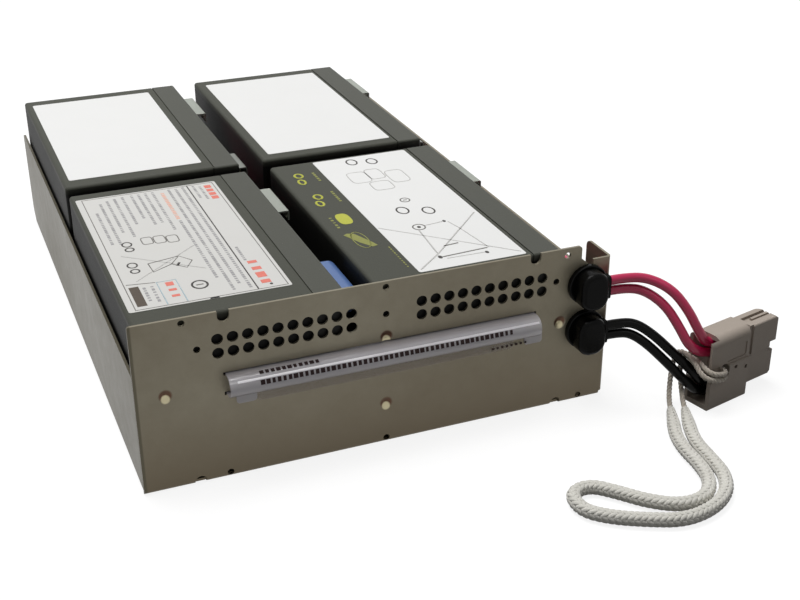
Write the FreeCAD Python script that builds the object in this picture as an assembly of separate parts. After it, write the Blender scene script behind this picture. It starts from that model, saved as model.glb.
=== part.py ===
"""Battery cartridge for a rack UPS: a folded steel tray with four sealed batteries,
their harness, two right-angle bushings, a two-pole connector, a cord tie with a braided
pull handle, and a clear pull strip on the front panel.

Millimetres. +X runs right along the front panel, +Y to the back, +Z up. The origin is the
centre of the tray's underside, which is what the cartridge rests on.
"""
import FreeCAD, Part
import math
import os

V = FreeCAD.Vector
X_AXIS = V(1, 0, 0)
Y_AXIS = V(0, 1, 0)
Z_AXIS = V(0, 0, 1)

# ---------------------------------------------------------------- tray
SERVICE_CHANNEL = 24.3
REAR_CLEARANCE = 8.7
SHEET = 1.2
BEND_INSIDE = 0.8
PANEL_HEIGHT = 80.6
PANEL_CORNER = 1.6
PANEL_LEFT_CORNER = 1.0
WALL_HEIGHT = 57.0
WALL_CORNER = 3.0
WALL_FRONT_GAP = 0.3
WALL_REAR_CHAMFER = 9.0
TAB_HEIGHT = 73.0
TAB_DEPTH = 21.0
TAB_FOOT = 2.2
TAB_GAP = 0.6
RELIEF_WIDTH = 6.2
RELIEF_FROM_SIDE = 9.5
RELIEF_DEPTH = 11.6
RELIEF_SLOPE = 5.4
LIP_HEIGHT = 14.0
LIP_SIDE_GAP = 12.0

VENT_DIAMETER = 5.0
VENT_PITCH = 6.54
VENT_COLUMNS = 10
VENT_ROWS = 2
VENT_TOP_FROM_EDGE = 12.5
VENT_LEFT_START = 36.3
VENT_RIGHT_START = 127.7

STRIP_SLOT_LEFT = 37.8
STRIP_SLOT_WIDTH = 146.4
STRIP_SLOT_HEIGHT = 1.6
STRIP_SLOT_TOP = 51.2
STRIP_SLOT_BOTTOM = 41.9

PILOT_DIAMETER = 3.0
PILOTS_UPPER = ((22.0, 2.4), (111.0, 2.7), (199.0, 3.5), (27.5, 15.6), (111.0, 15.6), (193.8, 15.6))
PILOTS_LOWER = ((38.0, 2.5), (110.5, 2.5), (208.7, 2.5))
NOTCH_WIDTH = 5.2
NOTCH_DEPTH = 5.0
NOTCHES_TOP = (39.5, 182.9)
FOOT_NOTCH_WIDTH = 5.2
FOOT_NOTCH_DEPTH = 3.6
NOTCHES_BOTTOM = (24.8, 196.5)
DIMPLE_DIAMETER = 6.0
DIMPLE_FLOOR = 2.2
DIMPLE_DEPTH = 0.9
DIMPLES = ((12.8, 45.7), (111.0, 53.7), (110.5, 20.2), (196.6, 43.7))

# ---------------------------------------------------------------- batteries
BATTERY_LENGTH = 151.0
BATTERY_CASE = 77.2
BATTERY_LID = 13.4
BATTERY_THICKNESS = 78.4
CASE_EDGE = 1.6
LID_EDGE = 1.2
SEAM_WIDTH = 0.7
SEAM_DEPTH = 0.6
SIDE_CLEARANCE = 1.0
FRONT_CLEARANCE = 0.9
COLUMN_GAP = 13.1
ROW_GAP = 11.0
WELL_LENGTH = 20.0
WELL_HEIGHT = 18.0
WELL_DEPTH = 2.0
VENT_COVER_LENGTH = 52.0
VENT_COVER_WIDTH = 26.0
VENT_COVER_DEPTH = 1.0
VENT_COVER_GAP = 0.7

BLADE_WIDTH = 6.35
BLADE_THICKNESS = 0.8
BLADE_LENGTH = 8.2
BLADE_FOOT = 10.0
BLADE_FOOT_THICKNESS = 1.0
TERMINAL_FROM_TOP = 12.4
TERMINAL_FRONT = 26.5
TERMINAL_REAR = 115.5
CLIP_WIDTH = 8.4
CLIP_THICKNESS = 3.0
CLIP_LENGTH = 7.2
CLIP_STAND_OFF = 0.4
CLIP_CLEARANCE = 0.05
BARREL_DIAMETER = 5.6
BARREL_LENGTH = 8.0
BARREL_OVERLAP = 1.0

LABEL_THICKNESS = 0.15
LABEL_CORNER = 1.2
# width, length, distance of the left edge from the case's left side, and of the near edge
LABELS = {
    "front_left": (70.0, 131.0, 1.8, 11.9),
    "front_right": (52.0, 146.0, 22.6, 2.2),
    "back_left": (69.2, 132.0, 3.6, 9.6),
    "back_right": (70.0, 134.0, 5.1, 7.6),
}

GUARD_WALL = 0.8
GUARD_REACH = 7.4
GUARD_LENGTH = 32.0
GUARD_DROP = 5.0
GUARD_LIP = 4.6
GUARD_FROM_TOP = 3.6

BOOT_LENGTH = 30.0
BOOT_REACH = 10.8
BOOT_HEIGHT = 13.0
BOOT_WALL = 0.8
BOOT_ROUND = 4.6
SLEEVE_LENGTH = 24.0
SLEEVE_REACH = 8.0
SLEEVE_HEIGHT = 9.0
SLEEVE_WALL = 0.6
SLEEVE_ROUND = 1.2

# ---------------------------------------------------------------- bushings and wires
WIRE = 4.6
WIRE_PITCH = 5.2
BUSHING_FROM_SIDE = 12.5
BUSHING_UPPER_FROM_TOP = 19.3
BUSHING_LOWER_FROM_TOP = 42.2
BUSHING_FLANGE = 19.4
BUSHING_FLANGE_THICKNESS = 2.4
BUSHING_BARREL = 12.0
BUSHING_BARREL_REACH = 6.5
BUSHING_HOLE_CLEARANCE = 0.25
BUSHING_LATCH = 0.9
BUSHING_LATCH_GAP = 0.1
KNOB_WIDTH = 14.0
KNOB_HEIGHT = 18.4
KNOB_DROP = 0.9
KNOB_REACH = 10.0
KNOB_CORNER = 6.2
KNOB_EDGE = 2.2
SPOUT_REACH = 0.9
SPOUT_HEIGHT = 11.4
SPOUT_DEPTH = 5.6
SPOUT_CORNER = 1.6
WIRE_FROM_PANEL = 6.0
FLANGE_EDGE = 0.6

# ---------------------------------------------------------------- connector
CONNECTOR_FROM_SIDE = 37.3
CONNECTOR_FROM_FRONT = 33.7
CONNECTOR_YAW = 14.0
CONNECTOR_LENGTH = 46.0
CONNECTOR_THICKNESS = 15.0
CONNECTOR_HEIGHT = 36.6
CONNECTOR_BACK = 26.4
CONNECTOR_WALL = 2.0
CONNECTOR_SHELF = 2.4
CHAMBER_HEIGHT = 10.6
CHAMBER_DEPTH = 25.0
SHELF_CUT = 5.4
WEB_CUT = 6.4
MATING_STEP = 4.8
MATING_INSET = 1.1
MATING_DROP = 0.3
MATING_CORNER = 4.5
THROAT_WIDTH = 2.4
THROAT_DEPTH = 1.0
NEAR_TOP_ROUND = 4.2
UPPER_INSET = 0.8
UPPER_INSET_FROM = 21.0
WINDOW_LENGTH = 13.0
WINDOW_HEIGHT = 7.6
WINDOW_DEPTH = 0.4
TONGUE_NOTCH = 4.0
TONGUE_NOTCH_HEIGHT = 5.6
GROOVE_WIDTH = 4.6
GROOVE_DEPTH = 1.4
GROOVE_RIB = 1.4
TIE_HOLE_AT = 9.9
TIE_AT = 9.2
TIE_HOLE_WIDTH = 5.4
TIE_HOLE_HEIGHT = 7.6
SPRING_HOLE = 2.0
SPRING_HOLES = ((17.2, 0.3), (24.4, -1.8))
CONTACT_START = 13.5
CONTACT_BARREL = 9.0
CONTACT_BARREL_WIDTH = 5.6
CONTACT_TONGUE_WIDTH = 7.0
CONTACT_TONGUE_THICKNESS = 2.0
CONTACT_TONGUE_END = 43.0
MOUTH_WIDTH = 8.0
MOUTH_HEIGHT = 8.6

# ---------------------------------------------------------------- tie, handle and strip
TIE = 2.6
TIE_PITCH = 2.8
KNOT_DIAMETER = 8.4
KNOT_GAP = 0.5
JUMPER_SAG = 3.0
BLACK_LEAD_DOWN = 34.6
RED_LEAD_DOWN = 27.6
RED_LEAD_SUNK = 14.4
ROPE = 6.4
ROPE_TIP_RISE = 1.6
FLOOR_GAP = 0.05
STRIP_WIDTH = 144.8
STRIP_THICKNESS = 0.5
STRIP_BULGE = 7.6
STRIP_BEND = 0.35
STRIP_GAP = 0.1
STRIP_TAIL_UPPER = 6.5
STRIP_TAIL_LOWER = 9.0
STRIP_EAR_WIDTH = 9.0
STRIP_EAR_DROP = 6.2
STRIP_EAR_INSET = 4.0

# ---------------------------------------------------------------- places that follow
BATTERY_DEPTH = BATTERY_CASE + BATTERY_LID
TRAY_WIDTH = 2 * SHEET + SIDE_CLEARANCE + 2 * BATTERY_DEPTH + COLUMN_GAP + SERVICE_CHANNEL
TRAY_DEPTH = 2 * SHEET + FRONT_CLEARANCE + 2 * BATTERY_LENGTH + ROW_GAP + REAR_CLEARANCE
LEFT = -TRAY_WIDTH / 2
RIGHT = TRAY_WIDTH / 2
FRONT = -TRAY_DEPTH / 2
BACK = TRAY_DEPTH / 2
FLOOR_TOP = SHEET
BATTERY_TOP = FLOOR_TOP + BATTERY_THICKNESS
COLUMN_X = {
    "left": LEFT + SHEET + SIDE_CLEARANCE,
    "right": LEFT + SHEET + SIDE_CLEARANCE + BATTERY_DEPTH + COLUMN_GAP,
}
ROW_Y = {
    "front": FRONT + SHEET + FRONT_CLEARANCE,
    "back": FRONT + SHEET + FRONT_CLEARANCE + BATTERY_LENGTH + ROW_GAP,
}
TERMINAL_Z = BATTERY_TOP - TERMINAL_FROM_TOP
BUSHING_X = RIGHT - BUSHING_FROM_SIDE
BUSHING_UPPER = PANEL_HEIGHT - BUSHING_UPPER_FROM_TOP
BUSHING_LOWER = PANEL_HEIGHT - BUSHING_LOWER_FROM_TOP
SPOUT_X = BUSHING_X + KNOB_WIDTH / 2 + SPOUT_REACH
CONNECTOR_X = RIGHT + CONNECTOR_FROM_SIDE
CONNECTOR_Y = FRONT - CONNECTOR_FROM_FRONT
MID_HEIGHT = CONNECTOR_HEIGHT / 2


# ---------------------------------------------------------------- helpers
def block(x0, x1, y0, y1, z0, z1):
    """A box between two corners."""
    return Part.makeBox(x1 - x0, y1 - y0, z1 - z0, V(x0, y0, z0))


def cylinder(start, direction, radius, length):
    """A round bar from a point along a direction."""
    return Part.makeCylinder(radius, length, start, direction)


def prism(points, travel):
    """A closed polygon pushed along a vector."""
    face = Part.Face(Part.makePolygon(list(points) + [points[0]]))
    return face.extrude(travel)


def edges_along(shape, axis, test=None):
    """The straight edges that run along an axis and pass a test on their middle."""
    found = []
    for edge in shape.Edges:
        if not isinstance(edge.Curve, (Part.Line, Part.LineSegment)):
            continue
        run = edge.Vertexes[-1].Point - edge.Vertexes[0].Point
        if run.Length < 1e-6:
            continue
        if abs(abs(run.normalize().dot(axis)) - 1) > 1e-6:
            continue
        middle = edge.valueAt((edge.FirstParameter + edge.LastParameter) / 2)
        if test is None or test(middle):
            found.append(edge)
    return found


def rounded(shape, radius, axis, test=None):
    """The shape with its edges along one axis rounded."""
    return shape.makeFillet(radius, edges_along(shape, axis, test))


def capsule(centre, width, height, depth, direction):
    """An obround bar: width across, height along Z, pushed along a horizontal direction."""
    across = direction.cross(Z_AXIS).normalize()
    radius = width / 2
    reach = height / 2 - radius
    corners = [
        centre + across * radius + Z_AXIS * reach,
        centre - across * radius + Z_AXIS * reach,
        centre - across * radius - Z_AXIS * reach,
        centre + across * radius - Z_AXIS * reach,
    ]
    top = centre + Z_AXIS * (reach + radius)
    bottom = centre - Z_AXIS * (reach + radius)
    outline = Part.Wire([
        Part.Arc(corners[0], top, corners[1]).toShape(),
        Part.LineSegment(corners[1], corners[2]).toShape(),
        Part.Arc(corners[2], bottom, corners[3]).toShape(),
        Part.LineSegment(corners[3], corners[0]).toShape(),
    ])
    return Part.Face(outline).extrude(direction * depth)


def tube(name, points, diameter):
    """A cord's solid: straight runs joined by tangent arcs, swept by a circle."""
    route = [V(*point) for point in points]
    edges = []
    radii = []
    begin = route[0]
    for before, corner, after in zip(route, route[1:], route[2:]):
        back = before - corner
        ahead = after - corner
        shorter = min(back.Length, ahead.Length)
        back.normalize()
        ahead.normalize()
        half_turn = (math.pi - back.getAngle(ahead)) / 2
        trim = 0.45 * shorter
        radius = trim / math.tan(half_turn)
        radii.append(radius)
        start = corner + back * trim
        end = corner + ahead * trim
        bisector = (back + ahead).normalize()
        apex = corner + bisector * (radius / math.cos(half_turn) - radius)
        edges.append(Part.LineSegment(begin, start).toShape())
        edges.append(Part.Arc(start, apex, end).toShape())
        begin = end
    edges.append(Part.LineSegment(begin, route[-1]).toShape())
    path = Part.Wire(edges)
    heading = (route[1] - route[0]).normalize()
    ring = Part.Wire([Part.Circle(route[0], heading, diameter / 2).toShape()])
    solid = path.makePipeShell([ring], True, True)
    expected = math.pi * diameter ** 2 / 4 * path.Length
    print(
        f"{name}: length {path.Length:.1f}, smallest radius {min(radii):.1f} "
        f"({min(radii) / diameter:.1f} diameters), volume ratio {solid.Volume / expected:.4f}"
    )
    return solid


def export(shapes):
    """Write one STEP file for each node."""
    os.makedirs("parts", exist_ok=True)
    for name, shape in shapes.items():
        shape.exportStep(f"parts/{name}.step")


# ---------------------------------------------------------------- tray
def bend(axis_point, axis, towards, sweep, inside=BEND_INSIDE, thickness=SHEET):
    """A quarter of a pipe: the bend between two walls of a sheet."""
    outer = cylinder(axis_point, axis, inside + thickness, sweep)
    inner = cylinder(axis_point, axis, inside, sweep)
    ring = outer.cut(inner)
    side = inside + thickness
    first, second = towards
    corners = [
        axis_point,
        axis_point + first * side * 1.5,
        axis_point + (first + second) * side * 1.5,
        axis_point + second * side * 1.5,
    ]
    return ring.common(prism(corners, axis * sweep))


def side_wall(side):
    """The left (-1) or right (+1) wall with its bend to the floor."""
    reach = BEND_INSIDE + SHEET
    outer = LEFT if side < 0 else RIGHT - SHEET
    start = FRONT + SHEET + WALL_FRONT_GAP if side < 0 else FRONT + TAB_DEPTH + TAB_GAP
    profile = [
        V(outer, start, reach),
        V(outer, BACK, reach),
        V(outer, BACK, WALL_HEIGHT),
        V(outer, start, WALL_HEIGHT),
    ]
    wall = prism(profile, X_AXIS * SHEET)
    wall = rounded(wall, WALL_CORNER, X_AXIS, lambda p: p.z > reach + 1 and p.y > 0)
    pivot = V(LEFT + reach if side < 0 else RIGHT - reach, start, reach)
    outward = X_AXIS * side
    corner = bend(pivot, Y_AXIS, (outward, Z_AXIS * -1), BACK - start)
    cut_corner = [
        V(outer - 5, BACK - WALL_REAR_CHAMFER, -1),
        V(outer - 5, BACK + 1, -1),
        V(outer - 5, BACK + 1, WALL_REAR_CHAMFER),
    ]
    return wall.fuse(corner).cut(prism(cut_corner, X_AXIS * (SHEET + 10)))


def front_panel():
    """The tall front panel with its bend to the floor and the tab at its right end."""
    reach = BEND_INSIDE + SHEET
    tab_start = RIGHT - reach
    outline = [
        V(LEFT, FRONT, reach),
        V(tab_start, FRONT, reach),
        V(tab_start, FRONT, TAB_HEIGHT),
        V(RIGHT - RELIEF_FROM_SIDE, FRONT, TAB_HEIGHT),
        V(RIGHT - RELIEF_FROM_SIDE, FRONT, PANEL_HEIGHT - RELIEF_DEPTH),
        V(RIGHT - RELIEF_FROM_SIDE - RELIEF_WIDTH, FRONT, PANEL_HEIGHT - RELIEF_DEPTH + RELIEF_SLOPE),
        V(RIGHT - RELIEF_FROM_SIDE - RELIEF_WIDTH, FRONT, PANEL_HEIGHT),
        V(LEFT, FRONT, PANEL_HEIGHT),
    ]
    panel = prism(outline, Y_AXIS * SHEET)
    panel = rounded(panel, PANEL_LEFT_CORNER, Y_AXIS, lambda p: p.z > PANEL_HEIGHT - 0.1 and p.x < 0)
    panel = rounded(panel, PANEL_CORNER, Y_AXIS, lambda p: p.z > PANEL_HEIGHT - 0.1 and p.x > 0)
    floor_pivot = V(LEFT, FRONT + reach, reach)
    floor_bend = bend(floor_pivot, X_AXIS, (Y_AXIS * -1, Z_AXIS * -1), TRAY_WIDTH - reach)
    tab_pivot = V(RIGHT - reach, FRONT + reach, TAB_FOOT)
    tab_bend = bend(tab_pivot, Z_AXIS, (X_AXIS, Y_AXIS * -1), TAB_HEIGHT - TAB_FOOT)
    tab = block(RIGHT - SHEET, RIGHT, FRONT + reach, FRONT + TAB_DEPTH, TAB_FOOT, TAB_HEIGHT)
    tab = rounded(tab, WALL_CORNER, X_AXIS, lambda p: p.y > FRONT + reach + 1)
    return panel.fuse([floor_bend, tab_bend, tab])


def panel_openings():
    """Everything that is punched out of the front panel."""
    cuts = []
    before = FRONT - 1
    through = SHEET + 2
    for start in (VENT_LEFT_START, VENT_RIGHT_START):
        for column in range(VENT_COLUMNS):
            for row in range(VENT_ROWS):
                x = LEFT + start + column * VENT_PITCH
                z = PANEL_HEIGHT - VENT_TOP_FROM_EDGE - row * VENT_PITCH
                cuts.append(cylinder(V(x, before, z), Y_AXIS, VENT_DIAMETER / 2, through))
    for x, down in PILOTS_UPPER:
        place = V(LEFT + x, before, PANEL_HEIGHT - down)
        cuts.append(cylinder(place, Y_AXIS, PILOT_DIAMETER / 2, through))
    for x, up in PILOTS_LOWER:
        place = V(LEFT + x, before, up)
        cuts.append(cylinder(place, Y_AXIS, PILOT_DIAMETER / 2, 1 + SHEET + BEND_INSIDE))
    for x in NOTCHES_TOP:
        half = NOTCH_WIDTH / 2
        base = PANEL_HEIGHT - NOTCH_DEPTH + half
        cuts.append(cylinder(V(LEFT + x, before, base), Y_AXIS, half, through))
        cuts.append(block(LEFT + x - half, LEFT + x + half, before, before + through, base, PANEL_HEIGHT + 1))
    for x in NOTCHES_BOTTOM:
        half = FOOT_NOTCH_WIDTH / 2
        centre = FOOT_NOTCH_DEPTH - half
        cuts.append(cylinder(V(LEFT + x, before, centre), Y_AXIS, half, 1 + SHEET + FRONT_CLEARANCE))
    for x, z in DIMPLES:
        cone = Part.makeCone(
            DIMPLE_DIAMETER / 2, DIMPLE_FLOOR / 2, DIMPLE_DEPTH, V(LEFT + x, FRONT, z), Y_AXIS
        )
        cuts.append(cone)
    for z in (STRIP_SLOT_TOP, STRIP_SLOT_BOTTOM):
        x0 = LEFT + STRIP_SLOT_LEFT
        low = z - STRIP_SLOT_HEIGHT / 2
        slot = block(x0, x0 + STRIP_SLOT_WIDTH, before, before + through, low, low + STRIP_SLOT_HEIGHT)
        cuts.append(slot)
    for z in (BUSHING_UPPER, BUSHING_LOWER):
        radius = BUSHING_BARREL / 2 + BUSHING_HOLE_CLEARANCE
        cuts.append(cylinder(V(BUSHING_X, before, z), Y_AXIS, radius, through))
    return cuts


def make_tray():
    """The tray: one sheet, folded up at the front, the sides and the back."""
    reach = BEND_INSIDE + SHEET
    floor = block(LEFT + reach, RIGHT - reach, FRONT + reach, BACK - reach, 0, SHEET)
    chamfer = WALL_REAR_CHAMFER
    for side in (-1, 1):
        edge = LEFT + reach if side < 0 else RIGHT - reach
        corner = [
            V(edge, BACK - chamfer, -1),
            V(edge, BACK + 1, -1),
            V(edge - side * (chamfer - reach), BACK + 1, -1),
        ]
        floor = floor.cut(prism(corner, Z_AXIS * (SHEET + 2)))
    lip_x0 = LEFT + LIP_SIDE_GAP
    lip = block(lip_x0, -lip_x0, BACK - SHEET, BACK, reach, LIP_HEIGHT)
    lip = rounded(lip, WALL_CORNER, Y_AXIS, lambda p: p.z > reach + 1)
    lip_bend = bend(V(lip_x0, BACK - reach, reach), X_AXIS, (Y_AXIS, Z_AXIS * -1), -2 * lip_x0)
    tray = floor.fuse([front_panel(), side_wall(-1), side_wall(1), lip, lip_bend])
    return tray.cut(panel_openings()).removeSplitter()


# ---------------------------------------------------------------- batteries
def battery_case(x, y):
    """A battery's case: it lies on its side, with its open end at +X closed by the lid."""
    case = block(x, x + BATTERY_CASE, y, y + BATTERY_LENGTH, FLOOR_TOP, BATTERY_TOP)
    case = case.makeFillet(CASE_EDGE, edges_along(case, X_AXIS) + edges_along(
        case, Y_AXIS, lambda p: p.x < x + 1) + edges_along(case, Z_AXIS, lambda p: p.x < x + 1))
    inset = SEAM_DEPTH
    band = block(x + BATTERY_CASE - SEAM_WIDTH, x + BATTERY_CASE + 1, y - 1, y + BATTERY_LENGTH + 1,
                 FLOOR_TOP - 1, BATTERY_TOP + 1)
    core = block(x, x + BATTERY_CASE + 2, y + inset, y + BATTERY_LENGTH - inset,
                 FLOOR_TOP + inset, BATTERY_TOP - inset)
    return case.cut(band.cut(core))


def battery_lid(x, y):
    """A battery's lid: terminal wells at both ends and a vent cover in a shallow recess."""
    near = x + BATTERY_CASE
    face = near + BATTERY_LID
    lid = block(near, face, y, y + BATTERY_LENGTH, FLOOR_TOP, BATTERY_TOP)
    lid = lid.makeFillet(LID_EDGE, edges_along(lid, X_AXIS) + edges_along(
        lid, Y_AXIS, lambda p: p.x > face - 1) + edges_along(lid, Z_AXIS, lambda p: p.x > face - 1))
    for along in (TERMINAL_FRONT, TERMINAL_REAR):
        well = block(face - WELL_DEPTH, face + 1, y + along - WELL_LENGTH / 2, y + along + WELL_LENGTH / 2,
                     TERMINAL_Z - WELL_HEIGHT / 2, TERMINAL_Z + WELL_HEIGHT / 2)
        lid = lid.cut(rounded(well, WELL_DEPTH, X_AXIS))
    middle_y = y + BATTERY_LENGTH / 2
    middle_z = (FLOOR_TOP + BATTERY_TOP) / 2
    ring = []
    for grow in (VENT_COVER_GAP, 0):
        half_l = VENT_COVER_LENGTH / 2 + grow
        half_w = VENT_COVER_WIDTH / 2 + grow
        ring.append(block(face - VENT_COVER_DEPTH, face + 1, middle_y - half_l, middle_y + half_l,
                          middle_z - half_w, middle_z + half_w))
    return lid.cut(ring[0].cut(ring[1]))


def terminal(x, y):
    """A flat blade on its foot, standing out of the lid's well."""
    base = x + BATTERY_DEPTH - WELL_DEPTH
    foot = block(base, base + BLADE_FOOT_THICKNESS, y - BLADE_FOOT / 2, y + BLADE_FOOT / 2,
                 TERMINAL_Z - BLADE_FOOT / 2, TERMINAL_Z + BLADE_FOOT / 2)
    foot = rounded(foot, BLADE_FOOT / 5, X_AXIS)
    half = BLADE_WIDTH / 2
    low = TERMINAL_Z - BLADE_THICKNESS / 2
    tip = base + BLADE_LENGTH
    taper = BLADE_WIDTH / 5
    blade = prism([
        V(base, y - half, low),
        V(tip - taper, y - half, low),
        V(tip, y - half + taper, low),
        V(tip, y + half - taper, low),
        V(tip - taper, y + half, low),
        V(base, y + half, low),
    ], Z_AXIS * BLADE_THICKNESS)
    return foot.fuse(blade).removeSplitter()


def clip_base(x):
    """Where a clip starts: just off the terminal's foot."""
    return x + BATTERY_DEPTH - WELL_DEPTH + BLADE_FOOT_THICKNESS + CLIP_STAND_OFF


def clip(x, y, heading):
    """A flag receptacle that grips a blade; its barrel points along Y by heading."""
    base = clip_base(x)
    body = block(base, base + CLIP_LENGTH, y - CLIP_WIDTH / 2, y + CLIP_WIDTH / 2,
                 TERMINAL_Z - CLIP_THICKNESS / 2, TERMINAL_Z + CLIP_THICKNESS / 2)
    body = rounded(body, CLIP_THICKNESS / 3, X_AXIS)
    start = V(base + CLIP_LENGTH / 2, y + heading * (CLIP_WIDTH / 2 - BARREL_OVERLAP), TERMINAL_Z)
    barrel = cylinder(start, Y_AXIS * heading, BARREL_DIAMETER / 2, BARREL_LENGTH)
    half = BLADE_WIDTH / 2 + CLIP_CLEARANCE
    gap = BLADE_THICKNESS / 2 + CLIP_CLEARANCE
    slot = block(base - 1, base + CLIP_LENGTH + 1, y - half, y + half, TERMINAL_Z - gap, TERMINAL_Z + gap)
    return body.fuse(barrel).cut(slot).removeSplitter()


def clip_end(x, y, heading):
    """Where a wire meets a clip's barrel."""
    reach = CLIP_WIDTH / 2 - BARREL_OVERLAP + BARREL_LENGTH
    return (clip_base(x) + CLIP_LENGTH / 2, y + heading * reach, TERMINAL_Z)


def label(name, x, y):
    """A thin paper label on a case's upper side."""
    width, length, from_left, from_near = LABELS[name]
    x0 = x + from_left
    y0 = y + from_near
    sheet = block(x0, x0 + width, y0, y0 + length, BATTERY_TOP, BATTERY_TOP + LABEL_THICKNESS)
    return rounded(sheet, LABEL_CORNER, Z_AXIS)


def terminal_guard(x, y):
    """A folded plastic guard over a terminal: short lip on the lid, roof, long outer drop."""
    face = x + BATTERY_DEPTH
    top = BATTERY_TOP - GUARD_FROM_TOP
    outer = face + GUARD_REACH
    y0 = y - GUARD_LENGTH / 2
    section = [
        V(face, y0, top),
        V(outer, y0, top),
        V(outer, y0, top - GUARD_DROP),
        V(outer - GUARD_WALL, y0, top - GUARD_DROP),
        V(outer - GUARD_WALL, y0, top - GUARD_WALL),
        V(face + GUARD_WALL, y0, top - GUARD_WALL),
        V(face + GUARD_WALL, y0, top - GUARD_LIP),
        V(face, y0, top - GUARD_LIP),
    ]
    guard = prism(section, Y_AXIS * GUARD_LENGTH)
    return rounded(guard, GUARD_WALL * 0.9, Y_AXIS, lambda p: p.z > top - 0.1 and p.x > outer - 0.1)


def terminal_cover(x, y, heading, length, reach, height, wall, corner):
    """A soft cover slipped over a clip, hollow, open to the lid and to the wire."""
    face = x + BATTERY_DEPTH
    half = length / 2
    low = TERMINAL_Z - height / 2
    high = TERMINAL_Z + height / 2
    outer = block(face, face + reach, y - half, y + half, low, high)
    outer = outer.makeFillet(corner, edges_along(outer, Y_AXIS, lambda p: p.x > face + 1))
    closed = (lambda p: p.x > face + 1 and p.y < y) if heading > 0 else (lambda p: p.x > face + 1 and p.y > y)
    outer = outer.makeFillet(corner * 0.6, edges_along(outer, Z_AXIS, closed))
    near = y - half + wall if heading > 0 else y - half - 1
    far = y + half + 1 if heading > 0 else y + half - wall
    inner = block(face - 1, face + reach - wall, near, far, low + wall, high - wall)
    inner = inner.makeFillet(corner * 0.6, edges_along(inner, Y_AXIS, lambda p: p.x > face + 1))
    inner = inner.makeFillet(corner * 0.45, edges_along(inner, Z_AXIS, closed))
    return outer.cut(inner)


# ---------------------------------------------------------------- bushings
def bushing(z):
    """A right-angle strain relief: latched barrel, flange, and a knob outside the panel."""
    inside = FRONT + SHEET + BUSHING_BARREL_REACH
    barrel = cylinder(V(BUSHING_X, inside, z), Y_AXIS * -1, BUSHING_BARREL / 2, inside - FRONT)
    latch_start = FRONT + SHEET + BUSHING_LATCH_GAP
    latch_radius = BUSHING_BARREL / 2 + BUSHING_LATCH
    latch = Part.makeCone(latch_radius, BUSHING_BARREL / 2, inside - latch_start,
                          V(BUSHING_X, latch_start, z), Y_AXIS)
    wings = block(BUSHING_X - latch_radius, BUSHING_X + latch_radius, latch_start, inside,
                  z - BUSHING_BARREL / 4, z + BUSHING_BARREL / 4)
    flange = cylinder(V(BUSHING_X, FRONT, z), Y_AXIS * -1, BUSHING_FLANGE / 2, BUSHING_FLANGE_THICKNESS)
    rim = [edge for edge in flange.Edges if edge.BoundBox.YMax < FRONT - BUSHING_FLANGE_THICKNESS + 0.01]
    flange = flange.makeFillet(FLANGE_EDGE, rim)
    half_w = KNOB_WIDTH / 2
    half_h = KNOB_HEIGHT / 2
    low = z - KNOB_DROP
    knob = block(BUSHING_X - half_w, BUSHING_X + half_w, FRONT - KNOB_REACH, FRONT, low - half_h, low + half_h)
    knob = rounded(knob, KNOB_CORNER, Y_AXIS)
    face_edges = [edge for edge in knob.Edges if edge.BoundBox.YMax < FRONT - KNOB_REACH + 0.01]
    knob = knob.makeFillet(KNOB_EDGE, face_edges)
    wire_y = FRONT - WIRE_FROM_PANEL
    spout = block(BUSHING_X, SPOUT_X, wire_y - SPOUT_DEPTH / 2, wire_y + SPOUT_DEPTH / 2,
                  z - SPOUT_HEIGHT / 2, z + SPOUT_HEIGHT / 2)
    spout = rounded(spout, SPOUT_CORNER, X_AXIS)
    return barrel.fuse([flange, knob, spout, latch.common(wings)]).removeSplitter()


def bushing_inside(z, rank):
    """Where an inner lead meets a bushing's barrel; rank is +1 for the upper wire, -1 for the lower."""
    return (BUSHING_X, FRONT + SHEET + BUSHING_BARREL_REACH, z + rank * WIRE_PITCH / 2)


def bushing_outside(z, rank, along=0.0, out=0.0, down=0.0):
    """A place on an outer cable's way from a bushing: how far along +X, forward, and down."""
    return (SPOUT_X + along, FRONT - WIRE_FROM_PANEL - out, z + rank * WIRE_PITCH / 2 - down)


# ---------------------------------------------------------------- connector
def in_connector(along, across, up):
    """A place in the connector's own axes: from its wire end, its near side and its foot."""
    yaw = math.radians(CONNECTOR_YAW)
    x = CONNECTOR_X + along * math.cos(yaw) - across * math.sin(yaw)
    y = CONNECTOR_Y + along * math.sin(yaw) + across * math.cos(yaw)
    return (x, y, up)


def seated(shape):
    """A shape drawn in the connector's own axes, moved to where the connector lies."""
    moved = shape.copy()
    moved.rotate(V(0, 0, 0), Z_AXIS, CONNECTOR_YAW)
    moved.translate(V(CONNECTOR_X, CONNECTOR_Y, 0))
    return moved


def pole_middle(side):
    """The height of the upper (+1) or lower (-1) pole's axis."""
    offset = MID_HEIGHT - CONNECTOR_SHELF - CHAMBER_HEIGHT / 2
    return MID_HEIGHT + side * offset


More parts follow.
